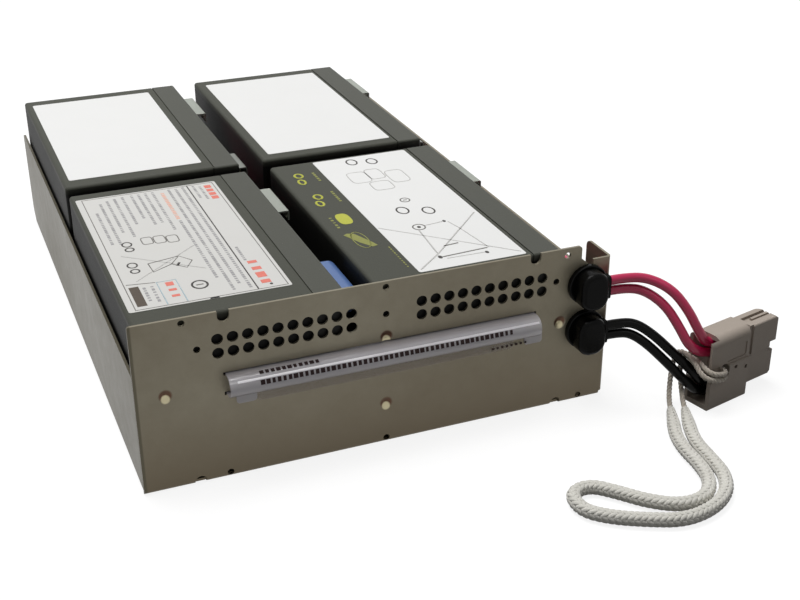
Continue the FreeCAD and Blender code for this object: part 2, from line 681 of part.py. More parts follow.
def connector_housing():
    """The two-pole housing: wire chambers at one end, stepped mating tongues at the other."""
    thick = CONNECTOR_THICKNESS
    high = CONNECTOR_HEIGHT
    back = block(0, CONNECTOR_BACK, 0, thick, 0, high)
    back = back.makeFillet(CONNECTOR_WALL, edges_along(back, X_AXIS, lambda p: p.y > thick / 2))
    near_top = block(-1, CONNECTOR_BACK + 1, -1, UPPER_INSET, UPPER_INSET_FROM, high + 1)
    back = back.cut(near_top)
    back = back.makeFillet(NEAR_TOP_ROUND, edges_along(
        back, X_AXIS, lambda p: p.z > high - 0.1 and p.y < thick / 2))
    back = back.makeFillet(CONNECTOR_WALL / 2, edges_along(back, X_AXIS, lambda p: p.z < 0.1 and p.y < 1))
    window_x = CONNECTOR_BACK - WINDOW_LENGTH - CONNECTOR_WALL
    window = block(window_x, window_x + WINDOW_LENGTH, -1, UPPER_INSET + WINDOW_DEPTH,
                   UPPER_INSET_FROM + 1.4, UPPER_INSET_FROM + 1.4 + WINDOW_HEIGHT)
    back = back.cut(rounded(window, 1.0, Y_AXIS))
    top = high - MATING_DROP
    front = block(CONNECTOR_BACK, CONNECTOR_LENGTH, MATING_INSET, thick - MATING_INSET, MATING_STEP, top)
    front = front.makeFillet(MATING_CORNER, edges_along(
        front, Z_AXIS, lambda p: p.x > CONNECTOR_LENGTH - 1 and p.y > thick / 2))
    front = front.makeChamfer(1.2, edges_along(front, Y_AXIS, lambda p: p.x > CONNECTOR_LENGTH - 1))
    front = front.makeFillet(CONNECTOR_WALL / 2, edges_along(front, X_AXIS, lambda p: p.y < thick / 2))
    throat = block(CONNECTOR_BACK, CONNECTOR_BACK + THROAT_WIDTH, -1, MATING_INSET + THROAT_DEPTH, -1, high + 1)
    front = front.cut(throat)
    seam = block(CONNECTOR_BACK, CONNECTOR_BACK + 0.5, -1, thick + 1, top - 0.6, high + 1)
    front = front.cut(seam)
    body = back.fuse(front)
    notch_low = MID_HEIGHT - TONGUE_NOTCH_HEIGHT / 2 + MATING_STEP / 2
    cuts = [block(CONNECTOR_LENGTH - TONGUE_NOTCH, CONNECTOR_LENGTH + 1, -1, thick + 1,
                  notch_low, notch_low + TONGUE_NOTCH_HEIGHT)]
    for side in (-1, 1):
        middle = pole_middle(side)
        low = middle - CHAMBER_HEIGHT / 2
        cuts.append(block(-1, CHAMBER_DEPTH, CONNECTOR_WALL, thick - CONNECTOR_WALL, low, low + CHAMBER_HEIGHT))
        mouth_low = middle - MOUTH_HEIGHT / 2
        if side < 0:
            mouth_low = middle - MOUTH_HEIGHT / 2 + CONNECTOR_SHELF
        mouth_y = thick / 2 - MOUTH_WIDTH / 2
        cuts.append(block(CHAMBER_DEPTH - 1, CONNECTOR_LENGTH + 1, mouth_y, mouth_y + MOUTH_WIDTH,
                          mouth_low, mouth_low + MOUTH_HEIGHT - CONNECTOR_SHELF))
        recess_y = -1 if side < 0 else thick - MATING_INSET - 1.2
        cuts.append(block(CONNECTOR_BACK + 0.01, CONNECTOR_LENGTH + 1, recess_y, recess_y + 1 + MATING_INSET + 1.2,
                          MATING_STEP - 1 if side < 0 else notch_low + TONGUE_NOTCH_HEIGHT / 2,
                          notch_low + TONGUE_NOTCH_HEIGHT / 2 if side < 0 else high + 1))
    cuts.append(block(-1, SHELF_CUT, CONNECTOR_WALL, thick - CONNECTOR_WALL, high - CONNECTOR_SHELF - 1, high + 1))
    shelf_inner = MID_HEIGHT - pole_middle(-1) - CHAMBER_HEIGHT / 2
    cuts.append(block(-1, WEB_CUT, CONNECTOR_WALL, thick - CONNECTOR_WALL, MID_HEIGHT - shelf_inner - 1,
                      MID_HEIGHT + shelf_inner + 1))
    lobe = shelf_inner - CONNECTOR_WALL
    cuts.append(block(-1, WEB_CUT, -1, thick + 1, MID_HEIGHT - lobe, MID_HEIGHT + lobe))
    cuts.append(capsule(V(TIE_HOLE_AT, -1, MID_HEIGHT), TIE_HOLE_WIDTH, TIE_HOLE_HEIGHT, thick + 2, Y_AXIS))
    for along, up in SPRING_HOLES:
        cuts.append(cylinder(V(along, -1, MID_HEIGHT + up), Y_AXIS, SPRING_HOLE / 2, thick + 2))
    groove_y = thick / 2 - GROOVE_WIDTH / 2
    groove = block(CONNECTOR_BACK + 2, CONNECTOR_LENGTH + 1, groove_y, groove_y + GROOVE_WIDTH,
                   top - GROOVE_DEPTH, high + 1)
    rib = block(CONNECTOR_BACK + 7, CONNECTOR_LENGTH + 1, thick / 2 - GROOVE_RIB / 2, thick / 2 + GROOVE_RIB / 2,
                high - GROOVE_DEPTH - 1, top - 0.3)
    cuts.append(groove.cut(rib))
    return seated(body.cut(cuts).removeSplitter())


def connector_contact(side):
    """A contact: an oval crimp barrel for two wires and a flat tongue to the mating end."""
    middle = pole_middle(side)
    thick = CONNECTOR_THICKNESS
    barrel = capsule(V(CONTACT_START, thick / 2, middle), CONTACT_BARREL_WIDTH, CHAMBER_HEIGHT - 0.6,
                     CONTACT_BARREL, X_AXIS)
    tongue_y = thick / 2 - CONTACT_TONGUE_WIDTH / 2
    tongue_z = middle if side > 0 else middle + CONNECTOR_SHELF
    tongue = block(CONTACT_START + CONTACT_BARREL - 1, CONTACT_TONGUE_END, tongue_y,
                   tongue_y + CONTACT_TONGUE_WIDTH, tongue_z - CONTACT_TONGUE_THICKNESS / 2,
                   tongue_z + CONTACT_TONGUE_THICKNESS / 2)
    tongue = rounded(tongue, CONTACT_TONGUE_THICKNESS / 3, Y_AXIS, lambda p: p.x > CONTACT_TONGUE_END - 1)
    return seated(barrel.fuse(tongue).removeSplitter())


# ---------------------------------------------------------------- pull strip
def pull_strip():
    """The clear strip: tails behind the panel, a bulge out of two slots, an ear at each end."""
    x0 = LEFT + STRIP_SLOT_LEFT + (STRIP_SLOT_WIDTH - STRIP_WIDTH) / 2
    x1 = x0 + STRIP_WIDTH
    half = STRIP_THICKNESS / 2
    inner_face = FRONT + SHEET + STRIP_GAP
    outer_face = inner_face + STRIP_THICKNESS
    middle = (STRIP_SLOT_TOP + STRIP_SLOT_BOTTOM) / 2
    loop_radius = (STRIP_SLOT_TOP - STRIP_SLOT_BOTTOM) / 2
    loop_y = FRONT - STRIP_BULGE + loop_radius
    ring = cylinder(V(x0, loop_y, middle), X_AXIS, loop_radius + half, STRIP_WIDTH)
    ring = ring.cut(cylinder(V(x0, loop_y, middle), X_AXIS, loop_radius - half, STRIP_WIDTH))
    strip = ring.common(block(x0, x1, loop_y - 2 * loop_radius, loop_y, middle - 2 * loop_radius,
                              middle + 2 * loop_radius))
    pieces = []
    for z, up, tail in ((STRIP_SLOT_TOP, 1, STRIP_TAIL_UPPER), (STRIP_SLOT_BOTTOM, -1, STRIP_TAIL_LOWER)):
        pivot_y = inner_face - STRIP_BEND
        pivot = V(x0, pivot_y, z + up * (half + STRIP_BEND))
        pieces.append(block(x0, x1, loop_y, pivot_y, z - half, z + half))
        pieces.append(bend(pivot, X_AXIS, (Y_AXIS, Z_AXIS * -up), STRIP_WIDTH, STRIP_BEND, STRIP_THICKNESS))
        ends = sorted((pivot.z, z + up * tail))
        pieces.append(block(x0, x1, inner_face, outer_face, ends[0], ends[1]))
    ear_top = STRIP_SLOT_BOTTOM + half
    ear_y = FRONT - STRIP_GAP
    for start in (x0 + STRIP_EAR_INSET, x1 + STRIP_EAR_INSET - STRIP_EAR_WIDTH):
        ear = block(start, start + STRIP_EAR_WIDTH, ear_y - STRIP_THICKNESS, ear_y, ear_top - STRIP_EAR_DROP,
                    ear_top)
        pieces.append(rounded(ear, STRIP_EAR_WIDTH / 6, Y_AXIS, lambda p: p.z < ear_top - 1))
    return strip.fuse(pieces).removeSplitter()


# ---------------------------------------------------------------- routes of the cords
def beside(dx, dy, z):
    """A place given from the connector's near lower wire-end corner."""
    return (CONNECTOR_X + dx, CONNECTOR_Y + dy, z)


def outer_routes():
    """The free cords, from the bushings to the connector, and the handle's cords."""
    pole = CONNECTOR_THICKNESS / 2
    knot = CONNECTOR_THICKNESS + KNOT_GAP
    flat = ROPE / 2 + FLOOR_GAP
    rise = flat + ROPE_TIP_RISE
    upper = BUSHING_UPPER
    lower = BUSHING_LOWER
    return {
        "red_cable_upper": (WIRE, [
            bushing_outside(upper, 1), bushing_outside(upper, 1, 8.6),
            bushing_outside(upper, 1, 19.6, 2.2, 1.1), bushing_outside(upper, 1, 28.6, 9.5, 5.7),
            beside(-7.5, 12.2, 49.0), beside(-3.9, 8.4, 40.0), in_connector(3.6, pole, 31.2),
            in_connector(CONTACT_START, pole, 31.2)]),
        "red_cable_lower": (WIRE, [
            bushing_outside(upper, -1), bushing_outside(upper, -1, 8.6),
            bushing_outside(upper, -1, 18.1, 2.0, 1.9), bushing_outside(upper, -1, 25.6, 9.2, 7.8),
            beside(-11.8, 12.2, 41.5), beside(-8.3, 7.7, 32.5), in_connector(3.4, pole, 26.5),
            in_connector(CONTACT_START, pole, 26.5)]),
        "black_cable_upper": (WIRE, [
            bushing_outside(lower, 1, 0, 0, 0.2), bushing_outside(lower, 1, 6.6, 0, 0.2),
            bushing_outside(lower, 1, 14.6, 2.0, 0.6), bushing_outside(lower, 1, 21.6, 7.8, 5.5),
            beside(-12.8, 14.4, 27.4), beside(-4.5, 8.9, 18.4), in_connector(4.2, pole, 10.2),
            in_connector(CONTACT_START, pole, 10.2)]),
        "black_cable_lower": (WIRE, [
            bushing_outside(lower, -1), bushing_outside(lower, -1, 6.1),
            bushing_outside(lower, -1, 12.6, 2.0, 0.4), bushing_outside(lower, -1, 18.6, 7.2, 4.6),
            beside(-15.8, 14.9, 23.0), beside(-8.0, 9.1, 13.8), in_connector(2.6, pole, 5.5),
            in_connector(CONTACT_START, pole, 5.5)]),
        "tie_cord_a": (TIE, [
            in_connector(TIE_AT, knot, 19.3), in_connector(TIE_AT, 7.0, 19.3), in_connector(TIE_AT, -2.4, 19.2),
            in_connector(1.2, -2.8, 20.4), beside(-2.3, 0.0, 22.0), beside(-2.3, 8.8, 24.0),
            beside(-6.6, 15.2, 24.8), beside(-5.7, 17.0, 14.4), beside(-8.2, 10.2, 7.6),
            beside(-13.1 + 0.46 * 4.8, -0.4 + 0.46 * 11.0, rise + 0.46 * ROPE_TIP_RISE),
            beside(-13.1, -0.4, rise)]),
        "tie_cord_b": (TIE, [
            in_connector(TIE_AT, knot, 16.6), in_connector(TIE_AT, 7.0, 16.6), in_connector(TIE_AT, -2.4, 16.5),
            in_connector(0.6, -3.0, 17.6), beside(-5.2, -0.6, 19.8), beside(-5.3, 8.8, 25.8),
            beside(-8.6, 16.4, 27.4), beside(-8.7, 19.4, 16.4), beside(-13.1, 13.4, 8.4),
            beside(-19.1 + 0.46 * 4.5, 2.3 + 0.46 * 9.9, rise + 0.46 * ROPE_TIP_RISE),
            beside(-19.1, 2.3, rise)]),
        "pull_rope": (ROPE, [
            beside(-19.1, 2.3, rise), beside(-23.6, -7.6, flat), beside(-28.1, -16.4, flat),
            beside(-30.8, -27.2, flat), beside(-31.3, -39.8, flat), beside(-34.0, -52.4, flat),
            beside(-42.3, -61.8, flat), beside(-54.8, -63.0, flat), beside(-66.3, -55.4, flat),
            beside(-75.5, -44.0, flat), beside(-83.8, -35.6, flat), beside(-94.1, -38.0, flat),
            beside(-95.3, -50.0, flat), beside(-86.9, -58.7, flat), beside(-74.3, -65.8, flat),
            beside(-60.3, -72.0, flat), beside(-45.3, -70.0, flat), beside(-33.1, -63.0, flat),
            beside(-25.7, -51.4, flat), beside(-24.1, -37.8, flat), beside(-22.9, -24.4, flat),
            beside(-17.9, -11.4, flat), beside(-13.1, -0.4, rise)]),
    }


def inner_routes():
    """The leads inside the tray, from the clips through the gaps to the bushings."""
    left = COLUMN_X["left"]
    right = COLUMN_X["right"]
    front = ROW_Y["front"]
    back = ROW_Y["back"]
    alley = left + BATTERY_DEPTH
    lane = right + BATTERY_DEPTH
    cross = front + BATTERY_LENGTH + ROW_GAP / 2
    step = BATTERY_LENGTH / 100
    span = (lane - alley) / 100
    width = SERVICE_CHANNEL / 100
    low = BATTERY_TOP - BLACK_LEAD_DOWN
    high = BATTERY_TOP - RED_LEAD_DOWN
    routes = {}
    for side, x in (("left", left), ("right", right)):
        start = clip_end(x, front + TERMINAL_REAR, 1)
        end = clip_end(x, back + TERMINAL_FRONT, -1)
        sag = JUMPER_SAG
        routes[f"jumper_{side}"] = [
            start, (start[0], start[1] + 7, start[2]), (start[0], start[1] + 17, start[2] - sag),
            (end[0], end[1] - 17, end[2] - sag), (end[0], end[1] - 7, end[2]), end]
    start = clip_end(left, front + TERMINAL_FRONT, 1)
    finish = bushing_inside(BUSHING_LOWER, -1)
    routes["lead_black_left"] = [
        start, (start[0], start[1] + 11, start[2]), (alley + 5.4, start[1] + 16 * step, low + 16.0),
        (alley + 6.6, start[1] + 26 * step, low + 7.0), (alley + 6.2, start[1] + 41 * step, low + 1.5),
        (alley + 5.2, cross - 18 * step, low), (alley + 4.7, cross - 9, low), (alley + 11.7, cross, low),
        (alley + 24 * span, cross, low), (alley + 44 * span, cross, low - 1.1),
        (alley + 66 * span, cross, low - 1.1), (lane - 11.0, cross, low), (lane + 4 * width, cross, low + 0.2),
        (lane + 41 * width, cross - 8, low - 1.5), (lane + 54 * width, cross - 15 * step, low - 6.0),
        (lane + 58 * width, cross - 32 * step, finish[2] - 2.8), (lane + 56 * width, cross - 56 * step, finish[2] - 3.8),
        (lane + 53 * width, finish[1] + 23 * step, finish[2] - 1.6), (finish[0], finish[1] + 14, finish[2]), finish]
    start = clip_end(left, back + TERMINAL_REAR, -1)
    finish = bushing_inside(BUSHING_UPPER, -1)
    routes["lead_red_left"] = [
        start, (start[0], start[1] - 11, start[2]), (alley + 5.2, start[1] - 17 * step, high + 11.0),
        (alley + 6.4, start[1] - 28 * step, high + 4.0), (alley + 6.2, start[1] - 44 * step, high + 0.5),
        (alley + 5.0, cross + 15 * step, high), (alley + 4.7, cross + 9, high), (alley + 11.7, cross, high),
        (alley + 24 * span, cross, high), (alley + 44 * span, cross, high - 1.1),
        (alley + 66 * span, cross, high - 1.1), (lane - 11.0, cross, high), (lane + 4 * width, cross, high + 0.4),
        (lane + 41 * width, cross - 8, high + 0.2), (lane + 54 * width, cross - 15 * step, high - 0.8),
        (lane + 58 * width, cross - 32 * step, finish[2] - 6.3), (lane + 58 * width, cross - 56 * step, finish[2] - 5.1),
        (lane + 54 * width, finish[1] + 24 * step, finish[2] - 2.1), (finish[0], finish[1] + 16, finish[2]), finish]
    start = clip_end(right, back + TERMINAL_REAR, -1)
    finish = bushing_inside(BUSHING_UPPER, 1)
    sunk = finish[2] - RED_LEAD_SUNK
    routes["lead_red_right"] = [
        start, (start[0], start[1] - 11, start[2]), (lane + 27 * width, start[1] - 17 * step, sunk + 11.6),
        (lane + 60 * width, start[1] - 28 * step, sunk + 5.2), (lane + 78 * width, start[1] - 45 * step, sunk),
        (lane + 80 * width, start[1] - 69 * step, sunk - 0.8), (lane + 80 * width, start[1] - 94 * step, sunk - 1.0),
        (lane + 79 * width, finish[1] + 54 * step, sunk + 3.0), (lane + 76 * width, finish[1] + 31 * step, sunk + 9.6),
        (finish[0], finish[1] + 18, finish[2]), finish]
    start = clip_end(right, front + TERMINAL_FRONT, 1)
    finish = bushing_inside(BUSHING_LOWER, 1)
    turn = start[1] + 25.6
    drop = (start[2] - finish[2]) * 0.293
    routes["lead_black_right"] = [
        start, (start[0], start[1] + 12.5, start[2]), (lane + 16 * width, turn, start[2]),
        (lane + 20 * width, turn + 7.6, start[2] - drop), (lane + 25 * width, turn + 7.6, finish[2] + drop),
        (lane + 30 * width, turn, finish[2]), (lane + 40 * width, turn - 13, finish[2] - 0.4),
        (lane + 50 * width, turn - 28, finish[2] - 0.2), (finish[0], finish[1] + 13, finish[2]), finish]
    return routes


def tie_knot():
    """The knot that stops the tie's two strands at the housing's far side."""
    radius = KNOT_DIAMETER / 2
    ball = Part.makeSphere(radius, V(TIE_AT, CONNECTOR_THICKNESS + KNOT_GAP + radius * 0.6, MID_HEIGHT))
    keep = block(-radius, TIE_AT + 2 * radius, CONNECTOR_THICKNESS + KNOT_GAP,
                 CONNECTOR_THICKNESS + 3 * radius, 0, CONNECTOR_HEIGHT)
    return seated(ball.common(keep))


# ---------------------------------------------------------------- the whole cartridge
def battery_nodes(nodes):
    """Cases, lids, labels, terminals, clips and covers of the four batteries."""
    for row, y in ROW_Y.items():
        for column, x in COLUMN_X.items():
            place = f"{row}_{column}"
            nodes[f"battery_case_{place}"] = battery_case(x, y)
            nodes[f"battery_lid_{place}"] = battery_lid(x, y)
            nodes[f"battery_label_{place}"] = label(place, x, y)
            for end, along in (("near", TERMINAL_FRONT), ("far", TERMINAL_REAR)):
                nodes[f"terminal_{place}_{end}"] = terminal(x, y + along)
            far_heading = 1 if row == "front" else -1
            nodes[f"clip_{place}_near"] = clip(x, y + TERMINAL_FRONT, far_heading)
            nodes[f"clip_{place}_far"] = clip(x, y + TERMINAL_REAR, far_heading)
            nodes[f"guard_{place}"] = terminal_guard(x, y + TERMINAL_REAR)
            if place == "front_left":
                nodes["terminal_boot"] = terminal_cover(
                    x, y + TERMINAL_FRONT, 1, BOOT_LENGTH, BOOT_REACH, BOOT_HEIGHT, BOOT_WALL, BOOT_ROUND)
            else:
                nodes[f"sleeve_{place}"] = terminal_cover(
                    x, y + TERMINAL_FRONT, far_heading, SLEEVE_LENGTH, SLEEVE_REACH, SLEEVE_HEIGHT,
                    SLEEVE_WALL, SLEEVE_ROUND)


def build():
    """Every node of the cartridge by name."""
    nodes = {"tray": make_tray()}
    battery_nodes(nodes)
    for name, points in inner_routes().items():
        nodes[name] = tube(name, points, WIRE)
    nodes["bushing_upper"] = bushing(BUSHING_UPPER)
    nodes["bushing_lower"] = bushing(BUSHING_LOWER)
    nodes["connector_housing"] = connector_housing()
    nodes["connector_contact_upper"] = connector_contact(1)
    nodes["connector_contact_lower"] = connector_contact(-1)
    nodes["tie_knot"] = tie_knot()
    for name, (diameter, points) in outer_routes().items():
        nodes[name] = tube(name, points, diameter)
    nodes["pull_strip"] = pull_strip()
    return nodes


export(build())
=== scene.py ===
"""Looks of a UPS battery cartridge: folded tray, sealed batteries, harness, plug and pulls."""
from __future__ import annotations

import logging
import math
from dataclasses import dataclass, replace
from enum import Enum

import bmesh
import bpy
import numpy as np
from bpy.types import Material, Mesh, Node, NodeOutputs, NodeSocket, NodeTree, Object
from mathutils import Matrix, Vector


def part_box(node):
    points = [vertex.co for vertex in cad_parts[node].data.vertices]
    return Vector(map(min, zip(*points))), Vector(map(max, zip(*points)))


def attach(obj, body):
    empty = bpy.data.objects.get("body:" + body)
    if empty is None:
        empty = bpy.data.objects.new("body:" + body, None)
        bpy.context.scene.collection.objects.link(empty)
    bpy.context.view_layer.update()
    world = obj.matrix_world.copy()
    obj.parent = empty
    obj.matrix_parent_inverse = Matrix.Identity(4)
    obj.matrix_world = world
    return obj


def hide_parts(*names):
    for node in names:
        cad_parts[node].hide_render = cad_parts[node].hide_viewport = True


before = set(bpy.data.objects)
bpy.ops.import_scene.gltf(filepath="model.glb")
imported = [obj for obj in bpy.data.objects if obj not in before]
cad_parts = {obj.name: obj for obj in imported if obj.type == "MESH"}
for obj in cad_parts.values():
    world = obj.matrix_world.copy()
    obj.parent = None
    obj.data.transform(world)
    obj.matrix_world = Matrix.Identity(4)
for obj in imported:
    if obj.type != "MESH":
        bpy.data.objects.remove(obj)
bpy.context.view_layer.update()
LOG = logging.getLogger("battery_cartridge")
MM = 0.001
PLUG_YAW = math.radians(14.0)
PLUG_CORNER = (148.3, -196.2)
PANEL_FACE = -0.1625

Point = tuple[float, float, float]
Place = tuple[float, float]
Colour = tuple[float, float, float]
Spot = tuple[Point, float, Colour]
Face = tuple[int, ...]
Value = float | tuple[float, ...] | NodeSocket


def srgb(red: float, green: float, blue: float) -> Colour:
    """Turn a display colour of 0 to 255 into linear values.

    Args:
        red: Display red.
        green: Display green.
        blue: Display blue.

    Returns:
        The linear colour.
    """
    def linear(value: float) -> float:
        """Return one channel as a linear value."""
        share = value / 255
        return share / 12.92 if share <= 0.04045 else ((share + 0.055) / 1.055) ** 2.4

    return (linear(red), linear(green), linear(blue))


def millimetres(*places: Point) -> list[Point]:
    """Turn places in millimetres into metres."""
    return [(x * MM, y * MM, z * MM) for x, y, z in places]


def on_plug(along: float, across: float, up: float) -> Point:
    """Place a point given along the plug from its wire end, across it and up, in millimetres."""
    x = PLUG_CORNER[0] + along * math.cos(PLUG_YAW) - across * math.sin(PLUG_YAW)
    y = PLUG_CORNER[1] + along * math.sin(PLUG_YAW) + across * math.cos(PLUG_YAW)
    return (x * MM, y * MM, up * MM)


# ---------- node trees
class Wiring:
    """Adds nodes to one tree, with their values and links."""

    def __init__(self, tree: NodeTree) -> None:
        """Take the tree to work on."""
        self.tree = tree

    def feed(self, node: Node, inputs: dict[str | int, Value]) -> None:
        """Set or link a node's inputs.

        Args:
            node: The node.
            inputs: For each input, by name or number, its value or the socket that feeds it.
        """
        for key, value in inputs.items():
            if isinstance(value, NodeSocket):
                self.tree.links.new(value, node.inputs[key])
            else:
                node.inputs[key].default_value = value

    def add(self, kind: str, inputs: dict[str | int, Value] | None = None, **settings: object) -> Node:
        """Add a node.

        Args:
            kind: Its type.
            inputs: For each input, by name or number, its value or the socket that feeds it.
            settings: The node's own settings.

        Returns:
            The node.
        """
        node = self.tree.nodes.new(kind)
        for name, value in settings.items():
            setattr(node, name, value)
        self.feed(node, inputs or {})
        return node

    def place(self) -> NodeSocket:
        """Return the place on the object."""
        return self.add("ShaderNodeTexCoord").outputs["Object"]

    def reckon(self, operation: str, *values: Value, clamp: bool = False) -> NodeSocket:
        """Return the result of a sum on numbers."""
        return self.add("ShaderNodeMath", dict(enumerate(values)), operation=operation, use_clamp=clamp).outputs[0]

    def noise(self, scale: Value, detail: float = 2.0, roughness: float = 0.5) -> NodeSocket:
        """Return noise over the object."""
        node = self.add("ShaderNodeTexNoise", {
            "Vector": self.place(), "Scale": scale, "Detail": detail, "Roughness": roughness})
        return node.outputs["Fac"]

    def blend(self, mask: Value, first: Value, second: Value) -> NodeSocket:
        """Mix two colours, or what feeds them, by how much of the second shows."""
        sides = {side: value if isinstance(value, NodeSocket) else (*value, 1.0)
                 for side, value in (("A", first), ("B", second))}
        return self.add("ShaderNodeMix", {"Factor": mask, **sides}, data_type="RGBA").outputs["Result"]

    def tint(self, shade: Value, effect: NodeTree, inputs: dict[str | int, Value],
             colour: Colour) -> NodeSocket:
        """Lay a colour over a shade where an effect's mask puts it."""
        mask = self.add("ShaderNodeGroup", inputs, node_tree=effect).outputs["Mask"]
        return self.blend(mask, shade, colour)


def new_material(name: str) -> tuple[Material, Wiring, Node]:
    """Start a material, and return it with its wiring and its shader."""
    material = bpy.data.materials.new(name)
    material.use_nodes = True
    return material, Wiring(material.node_tree), material.node_tree.nodes["Principled BSDF"]


class Effects:
    """Shader node groups that more than one finish uses."""

    def __init__(self) -> None:
        """Build every group once."""
        self.grain = self._grain()
        self.mottle = self._mottle()
        self.dust = self._dust()
        self.fibres = self._fibres()
        # Masks that place painted shade towards the low end and on the left side, and round spots of painted shade,
        # painted highlight and painted reflection.
        self.low = self._beyond("painted_low_shade_mask", "Z")
        self.left = self._beyond("painted_left_shade_mask", "X")
        self.spot = self._spot()

    @staticmethod
    def _start(name: str, inputs: dict[str, float], outputs: tuple[str, ...] = ("Mask",)
               ) -> tuple[Wiring, NodeOutputs, Node]:
        """Start a group with float sockets.

        Args:
            name: The group's name.
            inputs: Input names with their values.
            outputs: Output names.

        Returns:
            Its wiring, the sockets of its inputs, and the node of its outputs.
        """
        group = bpy.data.node_groups.new(name, "ShaderNodeTree")
        for label, value in inputs.items():
            group.interface.new_socket(label, in_out="INPUT", socket_type="NodeSocketFloat").default_value = value
        for label in outputs:
            group.interface.new_socket(label, in_out="OUTPUT", socket_type="NodeSocketFloat")
        wires = Wiring(group)
        return wires, wires.add("NodeGroupInput").outputs, wires.add("NodeGroupOutput")

    def _grain(self) -> NodeTree:
        """Fine moulded or rolled grain, as a height."""
        wires, entry, leave = self._start("surface_grain", {"Scale": 900.0}, ("Height",))
        wires.feed(leave, {"Height": wires.noise(entry["Scale"], detail=3.0)})
        return wires.tree

    def _mottle(self) -> NodeTree:
        """Broad uneven patches with finer ones inside, as a mask."""
        wires, entry, leave = self._start("surface_mottle", {"Broad": 18.0, "Fine": 160.0, "Contrast": 1.0})
        broad_share, fine_share, middle = 0.6, 0.4, 0.5
        fine = wires.reckon("MULTIPLY", wires.noise(entry["Fine"], detail=5.0, roughness=0.65), fine_share)
        both = wires.reckon("MULTIPLY_ADD", wires.noise(entry["Broad"], detail=4.0), broad_share, fine)
        centred = wires.reckon("SUBTRACT", both, middle)
        wires.feed(leave, {"Mask": wires.reckon("MULTIPLY_ADD", centred, entry["Contrast"], middle, clamp=True)})
        return wires.tree

    def _dust(self) -> NodeTree:
        """Sparse specks of dust, as a mask."""
        wires, entry, leave = self._start("dust_specks", {"Scale": 700.0, "Amount": 0.1})
        cells = wires.add("ShaderNodeTexVoronoi", {"Vector": wires.place(), "Scale": entry["Scale"]})
        wires.feed(leave, {"Mask": wires.reckon("LESS_THAN", cells.outputs["Distance"], entry["Amount"])})
        return wires.tree

    def _beyond(self, name: str, axis: str) -> NodeTree:
        """A mask that grows from a level towards lower values along one axis.

        Args:
            name: The group's name.
            axis: The axis that the level stands on.

        Returns:
            The group.
        """
        wires, entry, leave = self._start(name, {"Top": 0.05, "Reach": 0.04})
        parts = wires.add("ShaderNodeSeparateXYZ", {0: wires.place()})
        below = wires.reckon("SUBTRACT", entry["Top"], parts.outputs[axis])
        wires.feed(leave, {"Mask": wires.reckon("DIVIDE", below, entry["Reach"], clamp=True)})
        return wires.tree

    def _spot(self) -> NodeTree:
        """A round mask about a place, soft at its edge."""
        wires, entry, leave = self._start("round_spot", {"X": 0.0, "Y": 0.0, "Z": 0.0, "Radius": 0.003})
        centre = wires.add("ShaderNodeCombineXYZ", {axis: entry[axis] for axis in "XYZ"})
        away = wires.add("ShaderNodeVectorMath", {0: wires.place(), 1: centre.outputs[0]}, operation="DISTANCE")
        share = wires.reckon("DIVIDE", away.outputs["Value"], entry["Radius"])
        edge = wires.add("ShaderNodeMapRange", {"Value": share, "From Min": 1.1, "From Max": 0.8})
        wires.feed(leave, {"Mask": edge.outputs["Result"]})
        return wires.tree

    def _fibres(self) -> NodeTree:
        """Fine fibres across a yarn, as a height, and broad soiling, as a mask."""
        wires, entry, leave = self._start("yarn_fibres", {"Scale": 1500.0}, ("Height", "Mask"))
        wires.feed(leave, {"Height": wires.noise(entry["Scale"], detail=6.0, roughness=0.7),
                           "Mask": wires.noise(90.0)})
        return wires.tree


